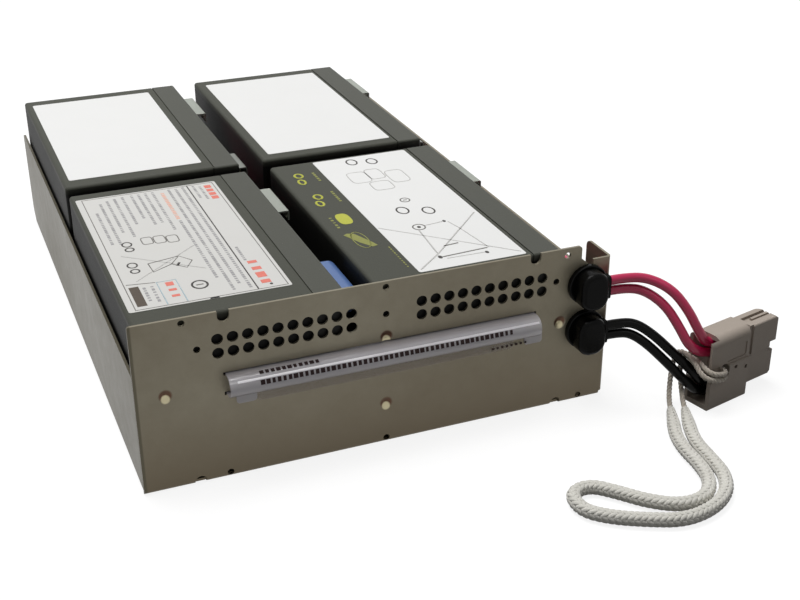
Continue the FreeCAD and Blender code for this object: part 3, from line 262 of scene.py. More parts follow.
# ---------- finishes
@dataclass(frozen=True)
class Finish:
    """A surface: its colours, gloss, grain and wear, and its painted shade and painted highlights."""

    name: str
    colour: Colour
    second: Colour
    roughness: float = 0.5
    roughness_spread: float = 0.1
    metallic: float = 0.0
    broad: float = 18.0
    fine: float = 160.0
    contrast: float = 1.0
    grain_scale: float = 900.0
    grain_depth: float = 0.1
    grain_height: float = 0.0002
    dust: float = 0.0
    dust_colour: Colour = (0.5, 0.48, 0.42)
    coat: float = 0.0
    transmission: float = 0.0
    alpha: float = 1.0
    specular: float = 0.5
    # Painted shade: a darker colour laid from a height downwards, growing over a reach.
    lower: Colour | None = None
    low_shade_top: float = 0.05
    low_shade_reach: float = 0.04
    # Painted shade: a darker colour laid on the left side, beyond a place across.
    left: Colour | None = None
    left_shade_edge: float = 0.0
    left_shade_reach: float = 0.0006
    # Round spots of painted shade, painted highlight and painted reflection.
    painted_light_spots: tuple[Spot, ...] = ()

    def build(self, effects: Effects) -> Material:
        """Make the material.

        Args:
            effects: The shared node groups.

        Returns:
            The material.
        """
        material, wires, shader = new_material(self.name)
        patches = wires.add("ShaderNodeGroup", {"Broad": self.broad, "Fine": self.fine, "Contrast": self.contrast},
                            node_tree=effects.mottle).outputs["Mask"]
        shade = wires.blend(patches, self.colour, self.second)
        if self.dust > 0:
            shade = wires.tint(shade, effects.dust, {"Amount": self.dust}, self.dust_colour)
        # Painted shade towards the low end and on the left, then the round painted spots.
        if self.lower is not None:
            shade = wires.tint(shade, effects.low, {"Top": self.low_shade_top, "Reach": self.low_shade_reach}, self.lower)
        if self.left is not None:
            shade = wires.tint(shade, effects.left, {"Top": self.left_shade_edge, "Reach": self.left_shade_reach}, self.left)
        for centre, radius, colour in self.painted_light_spots:
            shade = wires.tint(shade, effects.spot, {**dict(zip("XYZ", centre)), "Radius": radius}, colour)
        smoothest, spread = 0.02, self.roughness_spread
        rough = wires.add("ShaderNodeMapRange", {
            "Value": patches, "To Min": max(smoothest, self.roughness - spread),
            "To Max": min(1.0, self.roughness + spread)})
        grain = wires.add("ShaderNodeGroup", {"Scale": self.grain_scale}, node_tree=effects.grain)
        bump = wires.add("ShaderNodeBump", {"Height": grain.outputs["Height"], "Strength": self.grain_depth,
                                            "Distance": self.grain_height})
        wires.feed(shader, {"Metallic": self.metallic, "Coat Weight": self.coat, "Alpha": self.alpha,
                            "Transmission Weight": self.transmission, "Specular IOR Level": self.specular,
                            "Base Color": shade, "Roughness": rough.outputs["Result"],
                            "Normal": bump.outputs["Normal"]})
        return material


def painted_dimple_shading(*places: Place) -> tuple[Spot, ...]:
    """Paint the shading of the front panel's dimples: a brown painted shade in the upper part, a painted highlight
    below.

    Args:
        places: Each dimple's place across and up, in millimetres.

    Returns:
        The painted spots for a finish.
    """
    # Painted shade on each dimple's upper side, then a painted highlight on its lower side.
    shaded = (0.5, 0.0029, srgb(92, 66, 50))
    bright = (-1.2, 0.0020, srgb(206, 196, 162))
    return tuple(((across * MM, PANEL_FACE, (up + rise) * MM), radius, colour)
                 for across, up in places for rise, radius, colour in (shaded, bright))


# Painted shade and painted highlight of four pressed dimples.
DIMPLE_PAINTED_SHADING = painted_dimple_shading((-98.2, 45.7), (0.0, 53.7), (-0.5, 20.2), (85.6, 43.7))
# A painted orange-brown reflection on the tray's right tab.
TAB_PAINTED_REFLECTION: Spot = ((0.1093, -0.1550, 0.0668), 0.0030, srgb(150, 84, 52))
# The steel carries painted shade: darker towards the bottom and darker on the left wall; its spots are painted dimple
# shading and a painted reflection.
STEEL = Finish(
    "plated_steel", srgb(136, 131, 115), srgb(116, 108, 91), roughness=0.42, roughness_spread=0.1, metallic=0.55,
    broad=9.0, fine=120.0, contrast=1.8, grain_scale=700.0, grain_depth=0.25, specular=0.3, lower=srgb(112, 102, 84),
    low_shade_top=0.044, low_shade_reach=0.042, left=srgb(92, 87, 72), left_shade_edge=-0.1094, painted_light_spots=(*DIMPLE_PAINTED_SHADING, TAB_PAINTED_REFLECTION))
# Below the lid the case turns nearly black: painted shade on its sides inside the tray and behind the vents.
CASE = Finish(
    "battery_case", srgb(64, 65, 58), srgb(72, 73, 66), roughness=0.55, roughness_spread=0.08, broad=14.0,
    fine=220.0, grain_scale=1600.0, grain_depth=0.35, dust=0.02, specular=0.1, lower=srgb(11, 11, 10),
    low_shade_top=0.0785, low_shade_reach=0.003)
# Below its top the lid turns dark: painted shade on its side faces.
LID = Finish(
    "battery_lid", srgb(62, 63, 56), srgb(71, 72, 65), roughness=0.5, roughness_spread=0.08, broad=16.0, fine=240.0,
    grain_scale=1600.0, grain_depth=0.3, dust=0.02, specular=0.16, lower=srgb(18, 18, 16), low_shade_top=0.0782,
    low_shade_reach=0.0022)
PAPER = Finish(
    "label_film", srgb(227, 227, 226), srgb(221, 221, 219), roughness=0.4, roughness_spread=0.06, broad=10.0,
    fine=60.0, grain_scale=400.0, grain_depth=0.05, specular=0.3)
GREY_PAPER = replace(
    PAPER, name="grey_label_film", colour=srgb(206, 205, 202), second=srgb(198, 197, 193), roughness=0.42)
BLUE = Finish("blue_boot", srgb(82, 110, 160), srgb(70, 96, 144), roughness=0.42, broad=60.0)
TIN = Finish("tinned_brass", srgb(188, 180, 160), srgb(160, 148, 124), roughness=0.32, metallic=0.9, broad=200.0)
GUARD = Finish(
    "guard_film", srgb(174, 179, 168), srgb(158, 164, 154), roughness=0.34, broad=60.0, transmission=0.3,
    specular=0.35)
SLEEVE = Finish("cloudy_sleeve", srgb(128, 130, 124), srgb(108, 110, 104), roughness=0.45, broad=60.0)
BLACK_WIRE = Finish(
    "black_wire", srgb(7, 7, 6), srgb(12, 12, 11), roughness=0.28, broad=80.0, grain_depth=0.06, specular=0.08)
RED_WIRE = Finish(
    "red_wire", srgb(196, 24, 84), srgb(178, 18, 70), roughness=0.3, broad=80.0, grain_depth=0.06, specular=0.45)
BUSHING = Finish("bushing_plastic", srgb(6, 6, 6), srgb(11, 11, 10), roughness=0.26, broad=90.0, specular=0.06)
PLUG = Finish(
    "plug_plastic", srgb(171, 161, 151), srgb(157, 146, 135), roughness=0.5, broad=40.0, fine=300.0,
    grain_scale=1400.0, grain_depth=0.12, specular=0.12)
CONTACT = Finish("silver_contact", srgb(206, 200, 188), srgb(180, 172, 158), roughness=0.3, metallic=1.0, broad=150.0)
STRIP = Finish(
    "clear_strip", srgb(232, 228, 234), srgb(222, 218, 224), roughness=0.14, roughness_spread=0.05, broad=30.0,
    fine=120.0, grain_depth=0.02, grain_scale=60.0, alpha=0.5, specular=1.0, coat=0.4)
STRIP_FLAP = replace(
    STRIP, name="clear_flap", colour=srgb(222, 206, 190), second=srgb(206, 190, 174), roughness=0.2, alpha=0.24,
    specular=0.8, coat=0.0)
# A painted highlight along the strip's fold.
STRIP_FOLD_HIGHLIGHT = Finish(
    "strip_fold", srgb(250, 246, 250), srgb(240, 236, 242), roughness=0.2, broad=60.0, grain_depth=0.02,
    specular=1.0, coat=0.6)


@dataclass(frozen=True)
class YarnFinish:
    """A textile yarn: soft, matt, with fine fibres."""

    name: str
    colour: Colour
    soiled: Colour
    roughness: float = 0.85
    sheen: float = 0.35
    specular: float = 0.3
    fibre_depth: float = 0.6
    fibre_height: float = 0.0003

    def build(self, effects: Effects) -> Material:
        """Make the material.

        Args:
            effects: The shared node groups.

        Returns:
            The material.
        """
        material, wires, shader = new_material(self.name)
        fibres = wires.add("ShaderNodeGroup", node_tree=effects.fibres).outputs
        bump = wires.add("ShaderNodeBump", {"Height": fibres["Height"], "Strength": self.fibre_depth,
                                            "Distance": self.fibre_height})
        wires.feed(shader, {"Roughness": self.roughness, "Sheen Weight": self.sheen,
                            "Specular IOR Level": self.specular, "Normal": bump.outputs["Normal"],
                            "Base Color": wires.blend(fibres["Mask"], self.colour, self.soiled)})
        return material


ROPE_YARN = YarnFinish("rope_yarn", srgb(226, 224, 217), srgb(204, 202, 193))
TIE_YARN = YarnFinish("tie_yarn", srgb(204, 196, 184), srgb(172, 163, 150))


class Ink(Enum):
    """Colours of print."""

    DARK = srgb(70, 68, 66)
    LINE = srgb(112, 110, 106)
    WORDS = srgb(146, 145, 146)
    FAINT = srgb(178, 177, 174)
    YELLOW = srgb(168, 170, 72)
    OLIVE = srgb(128, 130, 74)
    RED = srgb(206, 118, 106)
    ORANGE = srgb(214, 166, 148)
    BROWN = srgb(78, 70, 62)
    BLACK = srgb(14, 14, 13)
    BLUE_GREY = srgb(160, 176, 182)
    STRIP_DASH = srgb(40, 26, 26)

    def build(self) -> Material:
        """Make the ink's material with a slightly uneven coverage."""
        material, wires, shader = new_material(f"ink_{self.name.lower()}")
        thinner, lift = 1.25, 0.01
        thin = tuple(min(1.0, part * thinner + lift) for part in self.value)
        wires.feed(shader, {"Roughness": 0.6, "Specular IOR Level": 0.12,
                            "Base Color": wires.blend(wires.noise(900.0), self.value, thin)})
        return material


# ---------- making meshes
def new_object(name: str, data: object) -> Object:
    """Put new data into the scene as an object."""
    made = bpy.data.objects.new(name, data)
    bpy.context.collection.objects.link(made)
    return made


def new_piece(name: str, vertices: np.ndarray | list[Point], faces: list[Face],
              material: Material, slot: str | None, smooth: bool = True) -> Object:
    """Make a mesh piece that rides on the cartridge.

    Args:
        name: The piece's name.
        vertices: Places in metres.
        faces: Vertex numbers of each face.
        material: Its finish.
        slot: The slot the finish stands for, or None for print; not used.
        smooth: Whether faces are shaded smooth; a flat piece has its faces turned outwards.

    Returns:
        The object.
    """
    mesh = bpy.data.meshes.new(name)
    mesh.from_pydata([tuple(map(float, place)) for place in vertices], [], faces)
    mesh.validate()
    mesh.update()
    if smooth:
        mesh.shade_smooth()
    else:
        face_outwards(mesh)
    piece = new_object(name, mesh)
    piece.data.materials.append(material)
    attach(piece, "root")
    return piece


def face_outwards(mesh: Mesh) -> None:
    """Turn every face of closed shapes outwards."""
    shapes = bmesh.new()
    shapes.from_mesh(mesh)
    bmesh.ops.recalc_face_normals(shapes, faces=shapes.faces)
    shapes.to_mesh(mesh)
    shapes.free()


def prism(one_end: list[Point], other_end: list[Point], base: int = 0) -> tuple[list[Point], list[Face]]:
    """Join two like outlines into a closed shape.

    Args:
        one_end: The first outline's places.
        other_end: The second outline's places, in the same order.
        base: The number of the first vertex.

    Returns:
        Vertices and faces.
    """
    count = len(one_end)
    faces: list[Face] = [tuple(base + index for index in range(count - 1, -1, -1)),
                         tuple(base + count + index for index in range(count))]
    for index in range(count):
        after = (index + 1) % count
        faces.append((base + index, base + after, base + count + after, base + count + index))
    return [*one_end, *other_end], faces


def plain_mesh(source: Object) -> Mesh:
    """Turn an object with its modifiers into a mesh of its own."""
    return bpy.data.meshes.new_from_object(source.evaluated_get(bpy.context.evaluated_depsgraph_get()))


def route_curve(name: str, points: list[Point], diameter: float) -> Object:
    """Make a smooth open curve along a cord's route.

    Args:
        name: The curve's name.
        points: Its control points in metres.
        diameter: The cord's diameter, or 0 for a bare line.

    Returns:
        The curve object.
    """
    data = bpy.data.curves.new(name, "CURVE")
    data.dimensions = "3D"
    spline = data.splines.new("NURBS")
    spline.points.add(len(points) - 1)
    for control, place in zip(spline.points, points):
        control.co = (*place, 1.0)
    spline.order_u = 3
    spline.use_endpoint_u = True
    spline.resolution_u = 10
    data.bevel_depth = diameter / 2
    data.bevel_resolution = 5
    data.use_fill_caps = diameter > 0
    return new_object(name, data)


def runs_along(line: np.ndarray) -> np.ndarray:
    """Return how far along a line each of its places is."""
    return np.concatenate([[0], np.cumsum(np.linalg.norm(np.diff(line, axis=0), axis=1))])


def read_line(points: list[Point], step: float, fewest: int = 8) -> np.ndarray:
    """Read evenly spaced places from the smooth curve of a route.

    Args:
        points: The route's control points in metres.
        step: Distance between places.
        fewest: The least number of steps.

    Returns:
        An array of places.
    """
    curve = route_curve("bare_line", points, 0.0)
    mesh = plain_mesh(curve)
    line = np.array([vertex.co[:] for vertex in mesh.vertices])
    bpy.data.objects.remove(curve, do_unlink=True)
    bpy.data.meshes.remove(mesh)
    runs = runs_along(line)
    count = max(fewest, int(round(runs[-1] / step)))
    wanted = np.linspace(0, runs[-1], count + 1)
    return np.stack([np.interp(wanted, runs, line[:, axis]) for axis in range(3)], axis=1)


def carried_frames(line: np.ndarray) -> tuple[np.ndarray, np.ndarray, np.ndarray]:
    """Carry a square frame along a line without twist.

    Args:
        line: Places along the line.

    Returns:
        Headings, first sides and second sides at each place.
    """
    heading = np.gradient(line, axis=0)
    heading /= np.linalg.norm(heading, axis=1)[:, None]
    side = np.zeros_like(line)
    start = np.cross(heading[0], (0.0, 0.0, 1.0))
    side[0] = start / np.linalg.norm(start)
    for index in range(1, len(line)):
        moved = side[index - 1] - heading[index] * np.dot(side[index - 1], heading[index])
        side[index] = moved / np.linalg.norm(moved)
    return heading, side, np.cross(heading, side)


def tube_mesh(line: np.ndarray, radii: np.ndarray, around: int, flat: float = 1.0,
              outward: np.ndarray | None = None) -> tuple[np.ndarray, list[Face]]:
    """Build a closed tube along a line.

    Args:
        line: Places along its middle.
        radii: Its radius at each place.
        around: Vertices in each ring.
        flat: How flat it is along outward, 1 for round.
        outward: A direction at each place that the flattening follows.

    Returns:
        Vertices and faces.
    """
    heading, first, second = carried_frames(line)
    if outward is not None:
        second = outward - heading * np.sum(outward * heading, axis=1)[:, None]
        second /= np.linalg.norm(second, axis=1)[:, None]
        first = np.cross(second, heading)
    turns = np.linspace(0, 2 * math.pi, around, endpoint=False)
    rings = (line[:, None, :]
             + first[:, None, :] * (np.cos(turns)[None, :, None] * radii[:, None, None])
             + second[:, None, :] * (np.sin(turns)[None, :, None] * radii[:, None, None] * flat))
    faces: list[Face] = []
    for ring in range(len(line) - 1):
        low = ring * around
        high = low + around
        for index in range(around):
            after = (index + 1) % around
            faces.append((low + index, low + after, high + after, high + index))
    faces.append(tuple(range(around - 1, -1, -1)))
    last = (len(line) - 1) * around
    faces.append(tuple(range(last, last + around)))
    return rings.reshape(-1, 3), faces


# ---------- print
class LineTree:
    """A geometry tree that turns bare edges into printed marks."""

    name = "line_tree"
    inputs: dict[str, tuple[str, object]] = {}

    def __init__(self) -> None:
        """Start the tree with its named inputs and grow its nodes."""
        self.tree = bpy.data.node_groups.new(self.name, "GeometryNodeTree")
        sockets = {"Geometry": ("NodeSocketGeometry", None), **self.inputs, "Ink": ("NodeSocketMaterial", None)}
        for label, (kind, value) in sockets.items():
            socket = self.tree.interface.new_socket(label, in_out="INPUT", socket_type=kind)
            if value is not None:
                socket.default_value = value
        self.tree.interface.new_socket("Geometry", in_out="OUTPUT", socket_type="NodeSocketGeometry")
        self.wires = Wiring(self.tree)
        self.entry = self.wires.add("NodeGroupInput").outputs
        curve = self.wires.add("GeometryNodeMeshToCurve", {"Mesh": self.entry["Geometry"]})
        real = self.wires.add("GeometryNodeRealizeInstances", {"Geometry": self.grow(curve.outputs["Curve"])})
        inked = self.wires.add("GeometryNodeSetMaterial", {"Geometry": real.outputs["Geometry"],
                                                           "Material": self.entry["Ink"]})
        self.wires.add("NodeGroupOutput", {"Geometry": inked.outputs["Geometry"]})

    def grow(self, curve: NodeSocket) -> NodeSocket:
        """Add the nodes that make the marks.

        Args:
            curve: The edges as curves.

        Returns:
            The socket that gives the marks.
        """
        raise NotImplementedError

    def print_on(self, name: str, lines: list[list[Point]], closed: bool, ink: Material,
                 values: dict[str, object]) -> Object:
        """Run the tree on lines and keep the marks as a plain mesh piece.

        Args:
            name: The piece's name.
            lines: Each line's places in metres.
            closed: Whether each line ends where it starts.
            ink: The marks' material.
            values: Values for the tree's inputs.

        Returns:
            The piece.
        """
        places: list[Point] = []
        edges: list[tuple[int, int]] = []
        for line in lines:
            base = len(places)
            places.extend(line)
            edges.extend((base + index, base + index + 1) for index in range(len(line) - 1))
            if closed:
                edges.append((base + len(line) - 1, base))
        bare = bpy.data.meshes.new(f"{name}_lines")
        bare.from_pydata(places, edges, [])
        carrier = new_object(f"{name}_carrier", bare)
        modifier = carrier.modifiers.new("marks", "NODES")
        modifier.node_group = self.tree
        wanted = {**values, "Ink": ink}
        for item in self.tree.interface.items_tree:
            if item.item_type == "SOCKET" and item.in_out == "INPUT" and item.name in wanted:
                modifier[item.identifier] = wanted[item.name]
        marks = plain_mesh(carrier)
        bpy.data.objects.remove(carrier, do_unlink=True)
        bpy.data.meshes.remove(bare)
        face_outwards(marks)
        marks.name = name
        piece = new_object(name, marks)
        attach(piece, "root")
        return piece


class WordTree(LineTree):
    """Lays dashes of uneven length along each line."""

    name = "printed_words"
    inputs = {"Pitch": ("NodeSocketFloat", 0.003), "Dash": ("NodeSocketVector", (0.0024, 0.0015, 0.00003)),
              "Shortest": ("NodeSocketFloat", 0.35), "Tilt": ("NodeSocketFloat", 0.0), "Seed": ("NodeSocketInt", 1)}

    def grow(self, curve: NodeSocket) -> NodeSocket:
        """Add the nodes that space, turn and stretch the dashes."""
        add = self.wires.add
        spaced = add("GeometryNodeResampleCurve", {"Curve": curve, "Length": self.entry["Pitch"]}, mode="LENGTH")
        dash = add("GeometryNodeMeshCube", {"Size": self.entry["Dash"]})
        tilt = add("ShaderNodeCombineXYZ", {"X": self.entry["Tilt"]})
        tilted = add("FunctionNodeEulerToRotation", {0: tilt.outputs[0]})
        tangent = add("GeometryNodeInputTangent").outputs["Tangent"]
        turned = add("FunctionNodeAlignRotationToVector", {"Rotation": tilted.outputs[0], "Vector": tangent},
                     axis="X")
        uneven = add("FunctionNodeRandomValue", {"Seed": self.entry["Seed"]}, data_type="FLOAT")
        shortest = next(socket for socket in uneven.inputs if socket.enabled and socket.name == "Min")
        self.tree.links.new(self.entry["Shortest"], shortest)
        length = next(socket for socket in uneven.outputs if socket.enabled)
        stretch = add("ShaderNodeCombineXYZ", {"X": length, "Y": 1.0, "Z": 1.0})
        placed = add("GeometryNodeInstanceOnPoints", {
            "Points": spaced.outputs["Curve"], "Instance": dash.outputs["Mesh"],
            "Rotation": turned.outputs["Rotation"], "Scale": stretch.outputs[0]})
        return placed.outputs["Instances"]


class StrokeTree(LineTree):
    """Draws each line as a thin raised stroke."""

    name = "printed_strokes"
    inputs = {"Width": ("NodeSocketFloat", 0.0006), "Thickness": ("NodeSocketFloat", 0.00003)}

    def grow(self, curve: NodeSocket) -> NodeSocket:
        """Add the nodes that sweep a flat profile along the lines."""
        level = self.wires.add("GeometryNodeSetCurveNormal", {"Curve": curve}, mode="Z_UP")
        profile = self.wires.add("GeometryNodeCurvePrimitiveQuadrilateral", {
            "Width": self.entry["Width"], "Height": self.entry["Thickness"]})
        swept = self.wires.add("GeometryNodeCurveToMesh", {
            "Curve": level.outputs["Curve"], "Profile Curve": profile.outputs["Curve"], "Fill Caps": True})
        return swept.outputs["Mesh"]


def oval(across: float, along: float, half_across: float, half_along: float, count: int = 28) -> list[Place]:
    """Return places round an oval, in millimetres."""
    turns = [2 * math.pi * index / count for index in range(count)]
    return [(across + half_across * math.cos(turn), along + half_along * math.sin(turn)) for turn in turns]


def soft_box(across: float, along: float, half_across: float, half_along: float, corner: float = 0.45,
             count: int = 28) -> list[Place]:
    """Return places round a box with full corners, in millimetres."""
    def full(value: float) -> float:
        """Return a sine or cosine pushed towards the sides."""
        return math.copysign(abs(value) ** corner, value)

    turns = [2 * math.pi * (index + 0.5) / count for index in range(count)]
    return [(across + half_across * full(math.cos(turn)), along + half_along * full(math.sin(turn)))
            for turn in turns]


class Press:
    """What every print is made with, and the pieces that it has made."""

    def __init__(self, finishes: Finishes) -> None:
        """Set up the trees."""
        self.finishes = finishes
        self.word_tree = WordTree()
        self.stroke_tree = StrokeTree()
        self.made: list[Object] = []

    def words(self, name: str, ink: Ink, lines: list[list[Point]], **values: object) -> None:
        """Print dashes along lines, with values for the tree's inputs."""
        self.made.append(self.word_tree.print_on(name, lines, False, self.finishes.of(ink), values))

    def solid(self, name: str, places: list[Point], faces: list[Face], finish: Finish | Ink,
              slot: str | None = None) -> None:
        """Make a solid with flat faces."""
        self.made.append(new_piece(name, places, faces, self.finishes.of(finish), slot, False))


@dataclass
class PrintedSheet:
    """Print on one level surface: rows, strokes, loops and fields, placed from its near left corner."""

    name: str
    corner: Point
    press: Press
    film: float = 0.00003
    inked: float = 0.9

    def on(self, place: Place, lift: float = 0.0) -> Point:
        """Place a point of the print, given in millimetres across and along."""
        return (self.corner[0] + place[0] * MM, self.corner[1] + place[1] * MM, self.corner[2] + self.film + lift)

    def words(self, part: str, ink: Ink, *rows: Point, height: float = 1.3, pitch: float = 2.1,
              seed: int = 1) -> None:
        """Print rows of dashes that run along the sheet.

        Args:
            part: What the rows are, for the piece's name.
            ink: Their colour.
            rows: Each row's place across, and where it starts and ends along.
            height: How tall the dashes are, in millimetres.
            pitch: Distance between dashes, in millimetres.
            seed: Seed of the uneven lengths.
        """
        lines = [[self.on((across, start)), self.on((across, end))] for across, start, end in rows]
        self.press.words(f"{self.name}_{part}", ink, lines, Pitch=pitch * MM, Seed=seed,
                         Dash=(pitch * self.inked * MM, height * MM, self.film * 2))

    def strokes(self, part: str, ink: Ink, width: float, *lines: list[Place], closed: bool = False) -> None:
        """Print strokes or closed loops.

        Args:
            part: What the strokes are, for the piece's name.
            ink: Their colour.
            width: How wide they are, in millimetres.
            lines: Each line's places across and along, in millimetres.
            closed: Whether each line is a loop.
        """
        placed = [[self.on(place) for place in line] for line in lines]
        self.press.made.append(self.press.stroke_tree.print_on(
            f"{self.name}_{part}", placed, closed, self.press.finishes.of(ink),
            {"Width": width * MM, "Thickness": self.film * 2}))

    def loops(self, part: str, ink: Ink, width: float, *lines: list[Place]) -> None:
        """Print closed loops."""
        self.strokes(part, ink, width, *lines, closed=True)

    def fields(self, part: str, ink: Ink, *outlines: list[Place]) -> None:
        """Print solid fields.

        Args:
            part: What the fields are, for the piece's name.
            ink: Their colour.
            outlines: Each field's outline, in millimetres across and along.
        """
        places: list[Point] = []
        faces: list[Face] = []
        for outline in outlines:
            lower, upper = ([self.on(place, lift) for place in outline] for lift in (-self.film, self.film))
            more_places, more_faces = prism(lower, upper, len(places))
            places += more_places
            faces += more_faces
        self.press.solid(f"{self.name}_{part}", places, faces, ink)


@dataclass
class CartridgePrint:
    """All the plain marks that stand where the batteries and the strip are printed."""

    press: Press
    margin: float = 1.4
    left_margin: float = 3.0
    right_margin: float = 1.6
    strip_round: float = 4.9
    strip_middle: float = 46.55
    film: float = 0.00003

    def build(self) -> list[Object]:
        """Print everything and return the pieces."""
        self.front_left()
        self.front_right()
        self.lid_marks()
        self.strip()
        self.flap()
        return self.press.made

    def front_left(self) -> None:
        """Print the busy label: a frame, rows, boxes and four colour fields."""
        low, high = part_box("battery_label_front_left")
        sheet = PrintedSheet("label_front_left", (low[0], low[1], high[2]), self.press)
        left, edge = self.left_margin, self.margin
        right = (high[0] - low[0]) / MM - self.right_margin
        back = (high[1] - low[1]) / MM - edge
        sheet.loops("frame", Ink.LINE, 0.55, [(left, edge), (right, edge), (right, back), (left, back)])
        sheet.strokes("divider", Ink.DARK, 0.6, [(55.4, edge), (55.4, back)])
        sheet.words("rows", Ink.WORDS, (52.9, 127.5, 5.0), (49.3, 127.0, 11.0), (45.7, 127.3, 5.5),
                    (42.0, 86.5, 20.0), (37.4, 127.0, 78.0), (33.8, 127.0, 88.5), (30.3, 126.8, 87.5),
                    (26.8, 126.8, 97.0), (22.2, 126.0, 91.5), (18.2, 125.0, 77.0), (14.3, 123.5, 84.0),
                    (10.6, 121.0, 70.5), (7.0, 110.0, 72.0), seed=4)
        sheet.words("side_rows", Ink.WORDS, (58.2, 127.5, 112.0), (61.3, 125.5, 109.0), (58.2, 46.5, 32.5),
                    height=1.2, pitch=1.9, seed=9)
        sheet.words("warm_row", Ink.ORANGE, (41.8, 124.0, 90.0), height=1.7, seed=2)
        sheet.words("corner_rows", Ink.WORDS, (10.6, 20.5, 8.5), (14.0, 21.0, 7.0), pitch=2.4, seed=12)
        sheet.words("red_fields", Ink.RED, (65.0, 124.6, 109.5), (21.6, 21.0, 9.0), height=3.4, pitch=4.6, seed=3)
        sheet.words("long_red_field", Ink.RED, (60.4, 29.0, 8.0), height=4.2, pitch=6.0, seed=8)
        sheet.fields("brown_field", Ink.BROWN, [(4.4, 4.2), (8.6, 4.2), (8.6, 23.4), (4.4, 23.4)])
        sheet.fields("dot", Ink.DARK, oval(61.9, 4.6, 0.7, 0.9))
        sheet.strokes("corner_boxes", Ink.BLUE_GREY, 0.6, [(16.6, 2.0), (16.6, 24.4), (25.0, 24.4), (25.0, 2.0)])
        sheet.strokes("corner_line", Ink.LINE, 0.5, [(4.0, 26.6), (16.2, 24.6)])
        sheet.loops("soft_boxes", Ink.LINE, 0.5, soft_box(22.4, 69.6, 2.5, 4.0), soft_box(28.1, 69.0, 2.6, 4.2),
                    soft_box(33.8, 67.6, 2.6, 4.0))
        sheet.loops("small_rings", Ink.DARK, 0.75, oval(12.9, 68.6, 2.1, 2.6), oval(13.0, 62.6, 1.9, 2.0),
                    oval(10.6, 45.4, 2.1, 2.6), oval(10.6, 39.0, 1.9, 2.0))
        sheet.strokes("plan_lines", Ink.LINE, 0.55, [
            (17.4, 44.6), (17.9, 35.2), (27.0, 40.4), (31.8, 47.6), (36.4, 41.0), (32.6, 34.4), (27.0, 40.4)],
            [(17.4, 44.6), (31.8, 47.6)])
        sheet.strokes("cross_lines", Ink.FAINT, 0.5, [(8.0, 57.0), (40.0, 30.5)], [(9.0, 28.5), (41.0, 56.5)])
        sheet.strokes("plan_bar", Ink.DARK, 1.1, [(29.0, 37.6), (30.6, 40.8)])
        sheet.loops("mark_ring", Ink.DARK, 0.95, oval(33.4, 15.4, 3.3, 3.9))
        sheet.strokes("mark_bar", Ink.LINE, 0.9, [(31.8, 15.4), (35.0, 15.4)])
        sheet.fields("edge_tab", Ink.BLACK, [(34.0, 0.1), (38.2, 0.1), (38.0, 1.4), (34.4, 1.4)])

    def front_right(self) -> None:
        """Print the open label: rings, thin plan lines and a few short bars."""
        low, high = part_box("battery_label_front_right")
        sheet = PrintedSheet("label_front_right", (low[0], low[1], high[2]), self.press)
        sheet.loops("rings", Ink.DARK, 0.85, oval(19.4, 138.6, 2.7, 3.9), oval(29.8, 136.2, 2.7, 3.9),
                    oval(19.4, 67.4, 2.8, 4.1), oval(31.0, 62.8, 2.8, 4.1))
        sheet.loops("small_rings", Ink.LINE, 0.7, oval(25.5, 79.3, 2.3, 2.5), oval(18.9, 45.8, 2.9, 3.2))
        sheet.strokes("ring_bar", Ink.LINE, 0.8, [(24.5, 79.3), (26.5, 79.3)])
        sheet.fields("dots", Ink.DARK, oval(18.9, 45.8, 0.9, 1.2), oval(32.6, 47.9, 0.8, 1.2),
                     oval(14.6, 11.2, 1.0, 1.6), oval(36.1, 8.1, 0.9, 1.3))
        sheet.strokes("plan_lines", Ink.FAINT, 0.75, [(50.2, 52.2), (15.2, 14.8), (1.6, 2.4)],
                      [(17.4, 42.2), (15.0, 15.4)])
        sheet.strokes("plan_base", Ink.LINE, 0.9, [(15.6, 11.0), (38.4, 12.6)], [(21.0, 21.6), (28.4, 22.4)])
        sheet.strokes("faint_lines", Ink.FAINT, 0.55, [(21.8, 46.4), (31.6, 47.7)],
                      [(34.0, 46.8), (35.9, 38.0), (39.2, 12.6)], [(0.8, 52.0), (50.6, 3.0)],
                      [(17.0, 8.8), (35.4, 8.4)])
        sheet.loops("soft_boxes", Ink.FAINT, 0.5, soft_box(15.4, 116.4, 5.2, 7.6), soft_box(24.6, 118.4, 4.2, 7.0),
                    soft_box(34.4, 111.4, 4.8, 8.6), soft_box(22.4, 102.0, 5.4, 6.0))

    def lid_marks(self) -> None:
        """Print the yellow marks on the right front battery, beside its label."""
        low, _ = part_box("battery_label_front_right")
        sheet = PrintedSheet("lid_front_right", (0.0, low[1], low[2]), self.press)
        sheet.loops("yellow_rings", Ink.YELLOW, 1.15, oval(5.0, 130.6, 2.0, 3.0), oval(4.0, 121.8, 1.7, 3.2),
                    oval(5.0, 99.8, 2.0, 3.0), oval(3.2, 91.2, 1.7, 3.2))
        sheet.fields("yellow_fields", Ink.YELLOW, soft_box(7.4, 68.8, 3.4, 6.6, 0.7))
        sheet.fields("olive_fields", Ink.OLIVE, [(0.6, 50.6), (2.6, 51.8), (5.6, 50.6), (10.4, 38.2), (11.4, 34.4),
                                                 (8.6, 33.8), (4.8, 40.2)])
        sheet.loops("olive_strokes", Ink.OLIVE, 0.5, oval(6.2, 42.8, 3.4, 9.4))
        sheet.words("olive_rows", Ink.OLIVE, (13.2, 131.8, 121.0), (13.6, 103.6, 91.0), (1.6, 72.0, 60.0),
                    pitch=2.5, seed=5)
        sheet.words("olive_edge_row", Ink.OLIVE, (15.2, 30.0, 8.0), height=0.7, pitch=2.2, seed=6)

